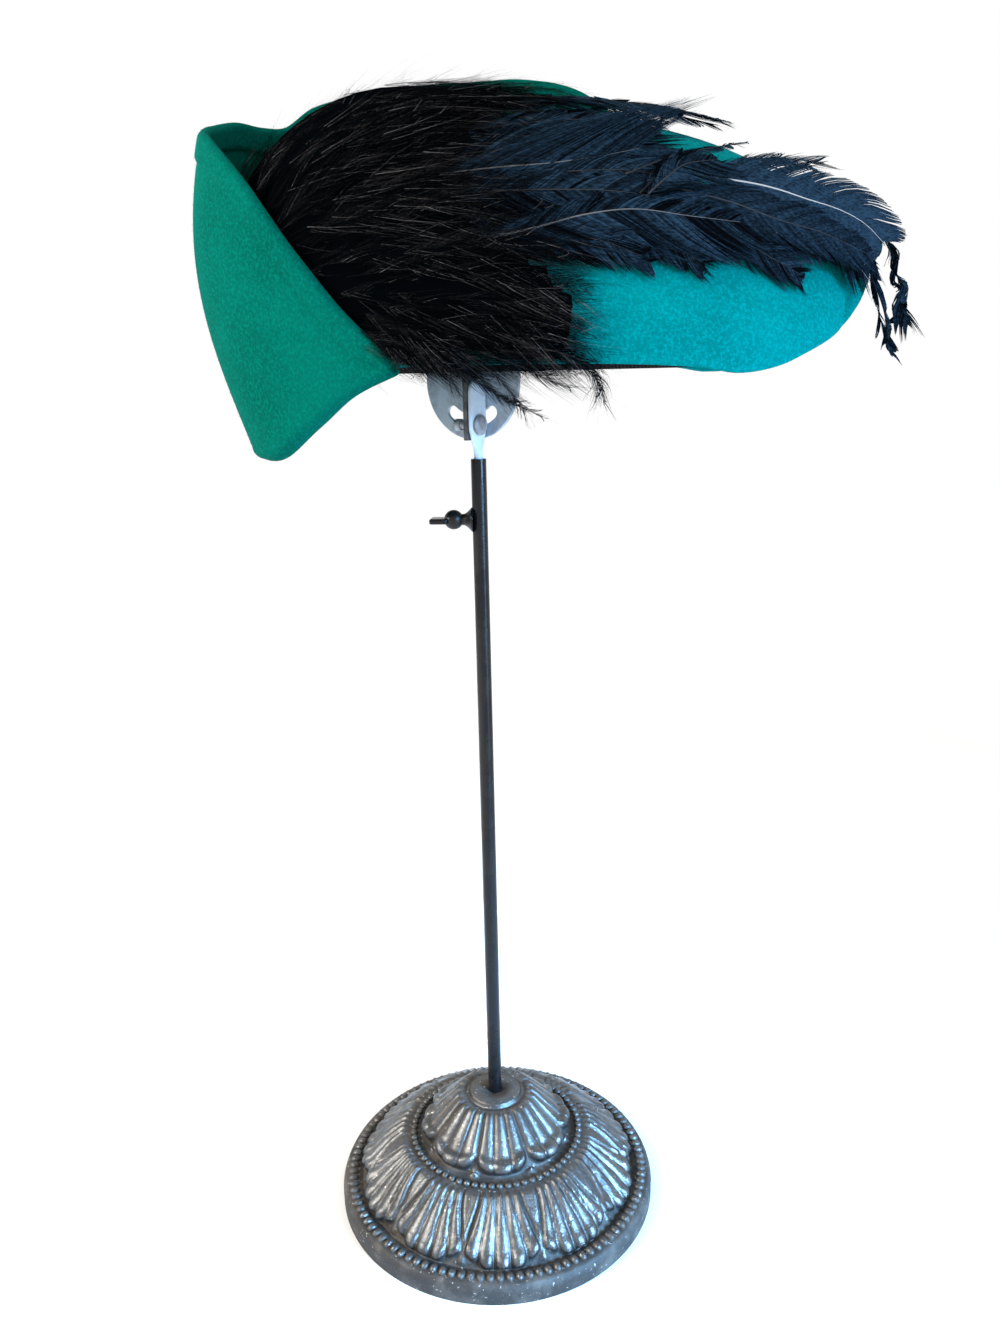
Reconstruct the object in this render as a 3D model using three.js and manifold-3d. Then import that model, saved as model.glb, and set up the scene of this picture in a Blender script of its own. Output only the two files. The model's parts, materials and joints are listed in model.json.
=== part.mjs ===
// A felt hat with feathers on a plain stand. Millimetres, +Z up.
// The origin is on the ground under the middle of the base. -Y is the front and +X the hat's narrow end.
import * as THREE from "three";
import { mergeVertices } from "three/addons/utils/BufferGeometryUtils.js";
import Module from "manifold-3d";

const wasm = await Module();
wasm.setup();

// Clearances
const gap = 0.35;
const featherGap = 0.6;
const troughClearance = 2;
const padClearance = 0.8;
const ribbonClearance = 0.75;
const weldDepth = 0.5;

// Stand: base, tube and sliding rod
const baseDiameter = 152.4;
const baseHeight = 52;
const baseWall = 5;
const rimSlope = 3;
const bossDiameter = 30;
const socketFloor = 12;
const tubeDiameter = 6.4;
const tubeWall = 1;
const tubeTop = 355;
const slideDepth = 110;

// Stand: head of the sliding rod, its rivet and the round plate on it
const paddleWidth = 10.7;
const paddleThickness = 1.6;
const paddleHeight = 31.8;
const rivetHeight = 13.6;
const rivetShank = 3.2;
const rivetHead = 8.4;
const rivetHeadThickness = 1.6;
const rivetTailReach = 10;
const rivetTail = 4.8;
const rivetTailLength = 3;
const plateDiameter = 47.5;
const plateThickness = 1.6;
const plateHeight = 31;
const plateSideways = -7;
const plateTurn = 30;
const slotInner = 13.5;
const slotOuter = 18.8;
const slotSpan = 96;
const ribThickness = 2.2;
const ribHeight = 50;

// Stand: clamp screw and the hidden support under the crown
const screwDrop = 25;
const bossReach = 5;
const bossSpread = 9;
const bossWaist = 5;
const screwShank = 3.2;
const knobDiameter = 6.8;
const knobLength = 5.4;
const wingLength = 7;
const wingWidth = 9;
const wingThickness = 2.2;
const wingDrop = 0.4;
const supportRod = 6;
const padDiameter = 44;
const padThickness = 3;
const padDome = 11;
const padCurve = 1.3;

// Hat: felt crown
const hemRise = 35.5;
const crownHeight = 90;
const crownMiddle = 20;
const crownBack = 100;
const crownFront = 130;
const crownHalfWidth = 78;
const feltWall = 2.2;
const prowRise = 28;
const prowDent = 3.2;
const prowDentAngle = 24;
const prowDentSpread = 6;
const prowDentShare = 0.2;
const prowDentHeight = 0.22;
const planPower = 2.15;
const domePower = 2.15;
const dropPower = 1.5;

// Hat: turned-up brim
const brimHeight = 123;
const brimDrop = 34;
const brimSeam = 6;
const brimFlare = 19.5;
const foldRadius = 4;
const lipThickness = 4.4;
const lipBand = 8;
const bellyPlace = 0.63;

// Hat: head ribbon
const ribbonThickness = 0.8;
const ribbonHeight = 21;
const ribbonShow = 1;
const ribbonFront = 90;

// Hat: feathers
const hackleDepth = 8.5;
const troughFill = 26;
const sprayDepth = 3.6;
const sprayLift = 9;
const strandLength = 30;
const strandWidth = 4;
const strandThickness = 2.6;

// Fineness of the faceted surfaces
const stationStep = 6;
const crownRows = 13;
const turnedSides = 40;
const supportSides = 32;
const tubeSides = 24;
const barSides = 20;
const pinSides = 16;
const foldSteps = 6;
const domeSteps = 6;
const strandSteps = 8;
const roomStep = 0.5;

// Height of the hem round the crown, as shares of prowRise. Angles are in degrees from the narrow end.
const hemTable = [
  { angle: 0, rise: 1 },
  { angle: 12, rise: 0.97 },
  { angle: 20, rise: 0.75 },
  { angle: 30, rise: 0.45 },
  { angle: 40, rise: 0.18 },
  { angle: 47, rise: -0.02 },
  { angle: 55, rise: -0.115 },
  { angle: 62, rise: -0.04 },
  { angle: 75, rise: 0.02 },
  { angle: 95, rise: 0.04 },
  { angle: 180, rise: 0 },
];

// Sections of the brim from its far end, round the back, to its near end.
// drop is a share of brimDrop, lip of brimHeight, flare of brimFlare and fold of foldRadius.
const brimTable = [
  { angle: 50, drop: 0, lip: 0.06, flare: 0.05, fold: 0.4 },
  { angle: 60, drop: 0, lip: 0.34, flare: 0.1, fold: 0.5 },
  { angle: 70, drop: 0, lip: 0.68, flare: 0.16, fold: 0.6 },
  { angle: 80, drop: 0, lip: 0.915, flare: 0.2, fold: 0.6 },
  { angle: 90, drop: 0, lip: 1, flare: 0.24, fold: 0.6 },
  { angle: 105, drop: 0, lip: 1, flare: 0.3, fold: 0.6 },
  { angle: 120, drop: 0, lip: 0.985, flare: 0.42, fold: 0.7 },
  { angle: 128, drop: 0.05, lip: 0.96, flare: 0.5, fold: 0.8 },
  { angle: 142, drop: 0.33, lip: 0.9, flare: 0.72, fold: 0.9 },
  { angle: 150, drop: 0.56, lip: 0.82, flare: 0.82, fold: 1 },
  { angle: 158, drop: 0.75, lip: 0.79, flare: 0.87, fold: 1 },
  { angle: 168, drop: 0.94, lip: 0.785, flare: 0.93, fold: 1 },
  { angle: 180, drop: 1, lip: 0.755, flare: 0.97, fold: 1 },
  { angle: 190, drop: 0.98, lip: 0.71, flare: 0.85, fold: 1 },
  { angle: 200, drop: 0.95, lip: 0.67, flare: 0.65, fold: 1 },
  { angle: 215, drop: 0.92, lip: 0.53, flare: 0.32, fold: 0.9 },
  { angle: 230, drop: 0.58, lip: 0.31, flare: 0.12, fold: 0.7 },
  { angle: 240, drop: 0.28, lip: 0.155, flare: 0.05, fold: 0.5 },
  { angle: 250, drop: 0.08, lip: 0.03, flare: 0.02, fold: 0.35 },
];

// How much of the trough behind the brim the soft feathers fill, as shares of troughFill,
// and where they end above the hem, as a share of the way from the hem to the top.
const hackleTable = [
  { angle: 102, fill: 0.05, start: 0.5 },
  { angle: 120, fill: 0.2, start: 0.35 },
  { angle: 150, fill: 0.65, start: 0.16 },
  { angle: 180, fill: 1, start: 0.14 },
  { angle: 215, fill: 0.8, start: 0.13 },
  { angle: 232, fill: 0.35, start: 0.13 },
  { angle: 250, fill: 0.14, start: 0.12 },
  { angle: 265, fill: 0.08, start: 0.06 },
  { angle: 285, fill: 0, start: 0.05 },
  { angle: 294, fill: 0, start: 0.1 },
];

// Long feathers: three fans over the narrow end, from a root to an end on the way from the hem to the top.
// lift is how far their ends stand off the felt, as a share of sprayLift.
const sprayTable = [
  { name: "spray_upper", from: 30, to: 66, root: 0.9, end: 0.5, lift: 0.33 },
  { name: "spray_middle", from: -18, to: 24, root: 0.9, end: 0.12, lift: 1 },
  { name: "spray_lower", from: -60, to: -19, root: 0.9, end: 0.36, lift: 0.11 },
];

// Loose feather ends that hang from the narrow end and under the front hem. Each starts at an angle, a share
// of the way up and a distance off the felt. The distance, bend and end are shares of strandLength.
const strandTable = [
  { name: "curl_inner", angle: -9, up: 0.08, off: 0.02, bend: [0.13, 0, -0.4], end: [0.37, -0.07, -0.83] },
  { name: "curl_outer", angle: 3, up: 0.13, off: 0.3, bend: [0.13, 0, -0.4], end: [0.07, 0, -1] },
  { name: "wisp_left", angle: 268, up: 0.035, off: 0.01, bend: [0.17, 0, -0.33], end: [0.43, -0.07, -0.67] },
  { name: "wisp_right", angle: 281, up: 0.025, off: 0.01, bend: [0.17, 0, -0.27], end: [0.23, 0, -0.57] },
];

// Shaping of the brim: where its points lie up to the lip's band and then round the lip's edge, as shares.
// lipWalls gives the wall at the edge, and lowBrim the most that seam, band and edge take of a low brim.
const brimPlaces = [0.12, 0.25, 0.4, 0.55, 0.7, 0.85];
const lipPlaces = [0.45, 0.75, 0.92, 1];
const lipWalls = [0.97, 0.78, 0.5, 0.12];
const lowBrim = { seam: 0.6, band: 0.6, edge: 0.3 };
const bandStep = 1.2;

// Shaping of the soft feathers: how thin they are at their start and their two ends, how fast they thicken
// above the start, how many degrees the ends take, how far up the heap turns, and where the heap fades.
const heapForm = { thinStart: 0.3, thicken: 3, thinEnd: 0.35, endAngle: 25, crest: 1.05, fade: 4 };

// Shaping of a fan: how much shorter its edges are, and how thin at its edges and its end.
const fanForm = { shorter: 0.14, thinEdge: 0.4, thinEnd: 0.5 };

const paint = {
  felt: { color: 0x0a9a86, roughness: 0.95, metalness: 0 },
  ribbon: { color: 0x0b0b0d, roughness: 0.7, metalness: 0 },
  hackle: { color: 0x1a1614, roughness: 0.6, metalness: 0 },
  coque: { color: 0x1c2430, roughness: 0.45, metalness: 0 },
  casting: { color: 0x5a5854, roughness: 0.5, metalness: 0.8 },
  blackSteel: { color: 0x17191b, roughness: 0.4, metalness: 0.6 },
  zincSteel: { color: 0x8d99a3, roughness: 0.4, metalness: 0.9 },
  rustySteel: { color: 0x6b4a33, roughness: 0.7, metalness: 0.5 },
};

const radians = THREE.MathUtils.degToRad;
const clamp = THREE.MathUtils.clamp;

// A value of a table at an angle: a smooth curve through its rows.
function readTable(table, angle, column) {
  const last = table.length - 1;
  const at = clamp(angle, table[0].angle, table[last].angle);
  let k = 0;
  while (k < last - 1 && at > table[k + 1].angle) k += 1;
  const slope = (i) => {
    const a = table[Math.max(i - 1, 0)];
    const b = table[Math.min(i + 1, last)];
    return (b[column] - a[column]) / (b.angle - a.angle);
  };
  const span = table[k + 1].angle - table[k].angle;
  const s = (at - table[k].angle) / span;
  const from = table[k][column];
  const step = table[k + 1][column] - from;
  const bend = s * (1 - s) * ((1 - s) * (slope(k) * span - step) - s * (slope(k + 1) * span - step));
  return from + step * s + bend;
}

// Plan of the hem: a rounded oval, longer towards the front of the hat.
function planPoint(angle, front = crownFront, back = crownBack, halfWidth = crownHalfWidth) {
  const c = Math.cos(radians(angle));
  const s = Math.sin(radians(angle));
  const power = 2 / planPower;
  const reach = c > 0 ? front : back;
  const x = reach * Math.sign(c) * Math.abs(c) ** power;
  const y = halfWidth * Math.sign(s) * Math.abs(s) ** power;
  return new THREE.Vector2(x, y);
}

// A point in the upright plane through the crown's middle at this angle: out from the middle, and up.
function placeAt(angle, out, up) {
  const plan = planPoint(angle);
  plan.multiplyScalar(out / plan.length());
  return new THREE.Vector3(crownMiddle + plan.x, plan.y, up);
}

const hemBase = tubeTop + hemRise;
const crownTop = hemBase + crownHeight;
const turnFrom = (angle) => Math.abs(THREE.MathUtils.euclideanModulo(angle + 180, 360) - 180);
const hemHeight = (angle) => hemBase + prowRise * readTable(hemTable, turnFrom(angle), "rise");
const hemReach = (angle) => planPoint(angle).length();

// The felt's outside in that plane, from the hem (share 0) to the top (share 1).
function crownLine(angle, share) {
  const turn = (clamp(1 - share, 0, 1) * Math.PI) / 2;
  const out = Math.sin(turn) ** (2 / domePower);
  const up = Math.cos(turn) ** (2 / dropPower);
  const hem = hemHeight(angle);
  const side = THREE.MathUtils.euclideanModulo(angle + 180, 360) - 180;
  const across = (side + prowDentAngle) / prowDentSpread;
  const along = (share - prowDentShare) / prowDentHeight;
  const dent = prowDent * Math.exp(-(across ** 2) - along ** 2);
  return new THREE.Vector2(hemReach(angle) * out - dent, hem + (crownTop - hem) * up);
}

// The same line moved outwards by a distance along its own normal.
function crownOffset(angle, share, distance) {
  const step = 0.004;
  const here = crownLine(angle, share);
  if (share > 1 - step) return new THREE.Vector2(0, crownTop + distance);
  const along = crownLine(angle, Math.min(share + step, 1)).sub(crownLine(angle, Math.max(share - step, 0)));
  const normal = new THREE.Vector2(along.y, -along.x).normalize();
  return here.add(normal.multiplyScalar(distance));
}

// A closed body between two grids of points of the same size, stitched along their edges.
function slab(outer, inner, closed) {
  const rows = outer.length;
  const columns = outer[0].length;
  const points = [...outer.flat(), ...inner.flat()];
  const id = (side, i, j) => side * rows * columns + (i % rows) * columns + j;
  const faces = [];
  const quad = (a, b, c, d) => faces.push(a, b, c, a, c, d);
  const spans = closed ? rows : rows - 1;
  for (let i = 0; i < spans; i += 1) {
    for (let j = 0; j < columns - 1; j += 1) {
      quad(id(0, i, j), id(0, i + 1, j), id(0, i + 1, j + 1), id(0, i, j + 1));
      quad(id(1, i, j), id(1, i, j + 1), id(1, i + 1, j + 1), id(1, i + 1, j));
    }
    quad(id(0, i + 1, 0), id(0, i, 0), id(1, i, 0), id(1, i + 1, 0));
    quad(id(0, i, columns - 1), id(0, i + 1, columns - 1), id(1, i + 1, columns - 1), id(1, i, columns - 1));
  }
  for (let j = 0; j < columns - 1 && !closed; j += 1) {
    quad(id(0, 0, j), id(0, 0, j + 1), id(1, 0, j + 1), id(1, 0, j));
    quad(id(0, rows - 1, j + 1), id(0, rows - 1, j), id(1, rows - 1, j), id(1, rows - 1, j + 1));
  }
  const geometry = new THREE.BufferGeometry();
  geometry.setAttribute("position", new THREE.Float32BufferAttribute(points.flatMap((p) => p.toArray()), 3));
  geometry.setIndex(faces);
  return facedOut(welded(geometry));
}

// Shared corners merged, and triangles without area dropped.
function welded(geometry) {
  const bare = geometry.clone();
  bare.deleteAttribute("normal");
  bare.deleteAttribute("uv");
  const merged = mergeVertices(bare, 1e-4);
  const index = merged.index.array;
  const kept = [];
  for (let i = 0; i < index.length; i += 3) {
    const [a, b, c] = [index[i], index[i + 1], index[i + 2]];
    if (a !== b && b !== c && c !== a) kept.push(a, b, c);
  }
  merged.setIndex(kept);
  return merged;
}

function volumeOf(geometry) {
  const corner = [0, 1, 2].map(() => new THREE.Vector3());
  const { index, attributes } = geometry;
  let sum = 0;
  for (let i = 0; i < index.count; i += 3) {
    corner.forEach((p, k) => p.fromBufferAttribute(attributes.position, index.getX(i + k)));
    sum += corner[0].dot(corner[1].clone().cross(corner[2])) / 6;
  }
  return sum;
}

function facedOut(geometry) {
  if (volumeOf(geometry) > 0) return geometry;
  const index = geometry.index.array;
  for (let i = 0; i < index.length; i += 3) [index[i + 1], index[i + 2]] = [index[i + 2], index[i + 1]];
  return geometry;
}

// Joining and cutting
function solid(geometry) {
  const merged = facedOut(welded(geometry));
  return new wasm.Manifold(
    new wasm.Mesh({
      numProp: 3,
      vertProperties: merged.attributes.position.array,
      triVerts: new Uint32Array(merged.index.array),
    }),
  );
}

function geometryOf(made) {
  const mesh = made.getMesh();
  const geometry = new THREE.BufferGeometry();
  geometry.setAttribute("position", new THREE.BufferAttribute(mesh.vertProperties, 3));
  geometry.setIndex(new THREE.BufferAttribute(mesh.triVerts, 1));
  return geometry;
}

const hat = new THREE.Group();
function add(name, geometry, finish) {
  geometry.computeVertexNormals();
  const mesh = new THREE.Mesh(geometry, new THREE.MeshStandardMaterial(paint[finish]));
  mesh.name = name;
  hat.add(mesh);
}

// A body turned about Z, from pairs of radius and height. The outline closes on itself.
function turned(outline, sides = turnedSides) {
  const points = [...outline, outline[0]].map(([r, z]) => new THREE.Vector2(r, z));
  return new THREE.LatheGeometry(points, sides).rotateX(Math.PI / 2);
}

// A round bar from one point to another.
function bar(from, to, radius, sides = barSides) {
  const start = new THREE.Vector3(...from);
  const along = new THREE.Vector3(...to).sub(start);
  const geometry = new THREE.CylinderGeometry(radius, radius, along.length(), sides);
  geometry.translate(0, along.length() / 2, 0);
  const turn = new THREE.Quaternion().setFromUnitVectors(THREE.Object3D.DEFAULT_UP, along.normalize());
  geometry.applyQuaternion(turn);
  return geometry.translate(start.x, start.y, start.z);
}

const tubeRadius = tubeDiameter / 2;
const tubeBore = tubeRadius - tubeWall;
const slideRadius = tubeBore - gap;

// Cast base: radii are shares of the base radius, heights of baseHeight.
// The underside follows the skin at a number of walls below it, out from the central boss.
function makeBase() {
  const radius = baseDiameter / 2;
  const bore = tubeRadius + gap;
  const boss = bossDiameter / 2;
  const skin = [
    { out: 1, up: 0 },
    { out: 1, up: 0.115 },
    { out: 0.982, up: 0.17 },
    { out: 0.948, up: 0.185 },
    { out: 0.925, up: 0.21 },
    { out: 0.9, up: 0.185 },
    { out: 0.866, up: 0.158 },
    { out: 0.845, up: 0.212 },
    { out: 0.787, up: 0.308 },
    { out: 0.682, up: 0.452 },
    { out: 0.604, up: 0.538 },
    { out: 0.545, up: 0.58 },
    { out: 0.514, up: 0.6 },
    { out: 0.487, up: 0.568 },
    { out: 0.44, up: 0.577 },
    { out: 0.42, up: 0.654 },
    { out: 0.367, up: 0.75 },
    { out: 0.289, up: 0.865 },
    { out: 0.236, up: 0.942 },
    { out: 0.197, up: 0.971 },
    { out: 0.171, up: 0.952 },
    { out: 0.156, up: 1 },
  ];
  const underside = [
    { out: boss / radius, up: 0.9, wall: 1.4 },
    { out: 0.36, up: 0.75, wall: 1.2 },
    { out: 0.5, up: 0.5, wall: 1 },
    { out: 0.76, up: 0.3, wall: 1 },
  ];
  const outline = skin.map((row) => [row.out * radius, row.up * baseHeight]);
  outline.push([bore, baseHeight], [bore, socketFloor], [0, socketFloor], [0, 0], [boss, 0]);
  underside.forEach((row) => outline.push([row.out * radius, row.up * baseHeight - row.wall * baseWall]));
  outline.push([radius - baseWall - rimSlope, rimSlope], [radius - baseWall, 0]);
  add("base_casting", facedOut(welded(turned(outline))), "casting");
}

// Tube with the clamp's cone on its side, bored for the sliding rod and the screw.
const screwHeight = tubeTop - screwDrop;
function makeTube() {
  const foot = socketFloor + gap;
  const wall = [
    [tubeBore, foot],
    [tubeRadius, foot],
    [tubeRadius, tubeTop],
    [tubeBore, tubeTop],
  ];
  const cone = new THREE.CylinderGeometry(bossWaist / 2, bossSpread / 2, bossReach, barSides);
  cone.rotateZ(Math.PI / 2).translate(-tubeRadius - bossReach / 2 + weldDepth, 0, screwHeight);
  const hole = bar([-tubeRadius - 2 * bossReach, 0, screwHeight], [0, 0, screwHeight], screwShank / 2 + gap);
  const bore = bar([0, 0, foot - 1], [0, 0, tubeTop + 1], tubeBore);
  const joined = solid(turned(wall, tubeSides)).add(solid(cone)).subtract(solid(bore)).subtract(solid(hole));
  add("tube", geometryOf(joined), "blackSteel");
}

function makeScrew() {
  const knobPlace = -tubeRadius - bossReach - gap - knobLength / 2;
  const shankEnds = [-slideRadius - gap, knobPlace].map((x) => [x, 0, screwHeight]);
  const shank = bar(...shankEnds, screwShank / 2, pinSides);
  const knob = new THREE.SphereGeometry(knobDiameter / 2, barSides, pinSides);
  knob.scale(knobLength / knobDiameter, 1, 1).translate(knobPlace, 0, screwHeight);
  const wingSpan = wingLength + knobLength / 2;
  const wing = new THREE.BoxGeometry(wingSpan, wingWidth, wingThickness);
  wing.translate(knobPlace - wingSpan / 2, 0, screwHeight - wingDrop);
  add("thumb_screw", geometryOf(solid(shank).add(solid(knob)).add(solid(wing))), "blackSteel");
}

// Axes of the head: the plate faces front left, and the paddle and rib stand square to it.
const facing = new THREE.Vector3(-Math.sin(radians(plateTurn)), -Math.cos(radians(plateTurn)), 0);
const aside = new THREE.Vector3(-facing.y, facing.x, 0);
const rivetZ = tubeTop + rivetHeight;
const plateZ = tubeTop + plateHeight;
const plateFront = -paddleWidth / 2 - gap;
const ribTop = tubeTop + ribHeight;

function headPoint(ahead, sideways, z) {
  return facing.clone().multiplyScalar(ahead).addScaledVector(aside, sideways).setZ(z).toArray();
}

function headBlock(ahead, sideways, from, to) {
  const size = [ahead[1] - ahead[0], sideways[1] - sideways[0], to - from];
  const block = new THREE.BoxGeometry(...size);
  block.translate((ahead[0] + ahead[1]) / 2, (sideways[0] + sideways[1]) / 2, (from + to) / 2);
  return block.applyMatrix4(new THREE.Matrix4().makeBasis(facing, aside, new THREE.Vector3(0, 0, 1)));
}

// Sliding rod whose top is flattened to a paddle. Heights are shares of paddleHeight, and widths and
// thicknesses are half sizes.
function makeSlideRod() {
  const wide = paddleWidth / 2;
  const thin = paddleThickness / 2;
  const sections = [
    { up: -slideDepth / paddleHeight, wide: slideRadius, thin: slideRadius },
    { up: 0.06, wide: slideRadius, thin: slideRadius },
    { up: 0.125, wide: slideRadius * 1.35, thin: slideRadius * 0.7 },
    { up: 0.2, wide: wide * 0.7, thin },
    { up: 0.37, wide, thin },
    { up: 0.84, wide, thin },
    { up: 0.94, wide: wide * 0.8, thin },
    { up: 0.985, wide: wide * 0.42, thin },
    { up: 1, wide: wide * 0.1, thin },
  ];
  const level = (row) => tubeTop + row.up * paddleHeight;
  const sides = barSides;
  const rings = sections.map((row) =>
    Array.from({ length: sides }, (_, k) => {
      const turn = (2 * Math.PI * k) / sides;
      const place = headPoint(row.wide * Math.cos(turn), row.thin * Math.sin(turn), level(row));
      return new THREE.Vector3(...place);
    }),
  );
  const ends = [sections[0], sections[sections.length - 1]];
  const middles = ends.map((row) => new THREE.Vector3(0, 0, level(row)));
  const hole = bar(headPoint(0, -wide, rivetZ), headPoint(0, wide, rivetZ), rivetShank / 2 + gap);
  add("slide_rod", geometryOf(solid(loft(rings, middles)).subtract(solid(hole))), "zincSteel");
}

// A body through a stack of rings, closed by fans about a middle point at each end.
function loft(rings, middles) {
  const count = rings[0].length;
  const points = [...rings.flat(), ...middles];
  const faces = [];
  const first = rings.length * count;
  for (let k = 0; k < count; k += 1) {
    const next = (k + 1) % count;
    for (let i = 0; i < rings.length - 1; i += 1) {
      const low = i * count;
      const high = low + count;
      faces.push(low + k, low + next, high + next, low + k, high + next, high + k);
    }
    const top = (rings.length - 1) * count;
    faces.push(first, next, k, first + 1, top + k, top + next);
  }
  const geometry = new THREE.BufferGeometry();
  geometry.setAttribute("position", new THREE.Float32BufferAttribute(points.flatMap((p) => p.toArray()), 3));
  geometry.setIndex(faces);
  return facedOut(welded(geometry));
}

// Round plate with one curved slot, and the rib welded upright on its front.
function makePlate() {
  const outline = new THREE.Shape().absarc(plateSideways, 0, plateDiameter / 2, 0, 2 * Math.PI, false);
  const from = radians(270 - slotSpan / 2);
  const to = radians(270 + slotSpan / 2);
  const slot = new THREE.Path().absarc(plateSideways, 0, slotOuter, from, to, false);
  outline.holes.push(slot.absarc(plateSideways, 0, slotInner, to, from, true));
  const options = { depth: plateThickness, bevelEnabled: false, curveSegments: tubeSides };
  const sheet = new THREE.ExtrudeGeometry(outline, options);
  const upright = new THREE.Matrix4().makeBasis(aside, new THREE.Vector3(0, 0, 1), facing);
  const behind = facing.clone().multiplyScalar(plateFront - plateThickness).setZ(plateZ);
  sheet.applyMatrix4(upright.setPosition(behind));
  const ribSide = -paddleThickness / 2 - gap;
  const low = plateZ - plateDiameter / 2;
  const ribDepth = [plateFront - weldDepth, paddleWidth / 2];
  const rib = headBlock(ribDepth, [ribSide - ribThickness, ribSide], low, ribTop);
  const holeFrom = headPoint(0, ribSide - 2 * ribThickness, rivetZ);
  const hole = bar(holeFrom, headPoint(0, ribSide + ribThickness, rivetZ), rivetShank / 2 + gap);
  add("hat_plate", geometryOf(solid(sheet).add(solid(rib)).subtract(solid(hole))), "zincSteel");
}

function makeRivet() {
  const face = paddleThickness / 2 + gap;
  const at = (sideways) => headPoint(0, sideways, rivetZ);
  const shank = bar(at(-rivetTailReach), at(face + weldDepth), rivetShank / 2, pinSides);
  const head = bar(at(face), at(face + rivetHeadThickness), rivetHead / 2, tubeSides);
  const tailEnd = -rivetTailReach - 2 * weldDepth;
  const tail = bar(at(tailEnd), at(tailEnd + rivetTailLength), rivetTail / 2, pinSides);
  add("rivet", geometryOf(solid(shank).add(solid(head)).add(solid(tail))), "rustySteel");
}

// Hidden support: a rod on the rib that ends in a domed pad under the crown.
function makeSupport() {
  const behind = Math.abs(crownMiddle) / (crownMiddle > 0 ? crownBack : crownFront);
  const rise = crownHeight * (1 - behind ** domePower) ** (1 / dropPower);
  const ceiling = hemBase + rise - feltWall - padClearance;
  const rim = ceiling - padDome;
  const dome = Array.from({ length: domeSteps + 1 }, (_, k) => {
    const share = k / domeSteps;
    return [(padDiameter / 2) * share, ceiling - padDome * share ** padCurve];
  });
  const rod = supportRod / 2;
  const outline = [
    [0, ribTop + gap],
    [rod, ribTop + gap],
    [rod, rim - padThickness],
    [padDiameter / 2, rim - padThickness],
    ...dome.reverse(),
  ];
  add("crown_support", facedOut(welded(turned(outline, supportSides))), "blackSteel");
}

// Stations round the hat at even angles, with the exact ends added.
function stations(from, to) {
  const near = 0.1;
  const list = [from];
  const first = Math.ceil((from + near) / stationStep) * stationStep;
  for (let angle = first; angle < to - near; angle += stationStep) list.push(angle);
  return [...list, to];
}

const roundHat = stations(0, 360).slice(0, -1);

function makeCrown() {
  const grid = (distance) =>
    roundHat.map((angle) =>
      Array.from({ length: crownRows + 1 }, (_, j) => {
        const share = j / crownRows;
        const line = crownOffset(angle, share, -distance);
        const up = j === 0 ? hemHeight(angle) : line.y;
        return placeAt(angle, line.x, up);
      }),
    );
  add("felt_crown", slab(grid(0), grid(feltWall), true), "felt");
}

// Middle line of the brim's felt at an angle: down the outside of the hem, round the fold and up to the lip.
const brimFoot = foldSteps + 1;
function brimLine(angle) {
  const read = (column) => readTable(brimTable, angle, column);
  const hem = hemHeight(angle);
  const fold = foldRadius * read("fold");
  const low = hem - brimDrop * read("drop") + feltWall / 2;
  const lip = hem + brimHeight * read("lip");
  const inside = hemReach(angle) + gap + feltWall / 2;
  const points = [new THREE.Vector2(inside, hem + Math.min(brimSeam, (lip - hem) * lowBrim.seam))];
  for (let k = 0; k <= foldSteps; k += 1) {
    const turn = (Math.PI * k) / foldSteps;
    const across = inside + fold - fold * Math.cos(turn);
    points.push(new THREE.Vector2(across, low + fold - fold * Math.sin(turn)));
  }
  const foot = points[points.length - 1];
  const height = lip - foot.y;
  const band = Math.min(lipBand, height * lowBrim.band);
  const round = Math.min(lipThickness / 2, height * lowBrim.edge);
  const shares = brimPlaces.map((s) => s * (1 - band / height));
  shares.push(1 - band / height, 1 - (band - bandStep) / height);
  lipPlaces.forEach((s) => shares.push(1 - (round / height) * (1 - s)));
  shares.forEach((share) => {
    const flare = brimFlare * read("flare") * Math.sin((Math.PI / 2) * (share / bellyPlace));
    points.push(new THREE.Vector2(foot.x + flare, foot.y + height * share));
  });
  return points;
}

// Half the felt's thickness along that line: one wall, then double at the lip's band, rounded at its edge.
function brimHalfWall(k, count) {
  const edge = k - (count - lipWalls.length);
  if (edge >= 0) return (lipThickness / 2) * lipWalls[edge];
  return edge === -1 ? lipThickness / 2 : feltWall / 2;
}

function brimSides(angle) {
  const line = brimLine(angle);
  const last = line.length - 1;
  return [1, -1].map((side) =>
    line.map((p, k) => {
      const along = line[Math.min(k + 1, last)].clone().sub(line[Math.max(k - 1, 0)]);
      const normal = new THREE.Vector2(along.y, -along.x).normalize();
      return p.clone().addScaledVector(normal, side * brimHalfWall(k, line.length));
    }),
  );
}

function makeBrim() {
  const angles = stations(brimTable[0].angle, brimTable[brimTable.length - 1].angle);
  const grid = (side) => angles.map((angle) => brimSides(angle)[side].map((p) => placeAt(angle, p.x, p.y)));
  add("turned_brim", slab(grid(0), grid(1), false), "felt");
}

// Ribbon inside the crown: it follows the felt's inside at the back and turns across the front.
function makeRibbon() {
  const low = hemBase - ribbonShow;
  const levels = [0, 0.5, 1].map((s) => low + ribbonHeight * s);
  const inset = feltWall + ribbonClearance;
  const grid = (extra) =>
    roundHat.map((angle) =>
      levels.map((z) => {
        const up = clamp((z - hemBase) / crownHeight, 0, 1);
        const out = (1 - up ** dropPower) ** (1 / domePower);
        const trim = inset + extra;
        const plan = planPoint(angle, ribbonFront - extra, crownBack - trim, crownHalfWidth - trim);
        plan.multiplyScalar(out);
        return new THREE.Vector3(crownMiddle + plan.x, plan.y, z);
      }),
    );
  add("head_ribbon", slab(grid(0), grid(ribbonThickness), true), "ribbon");
}

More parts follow.
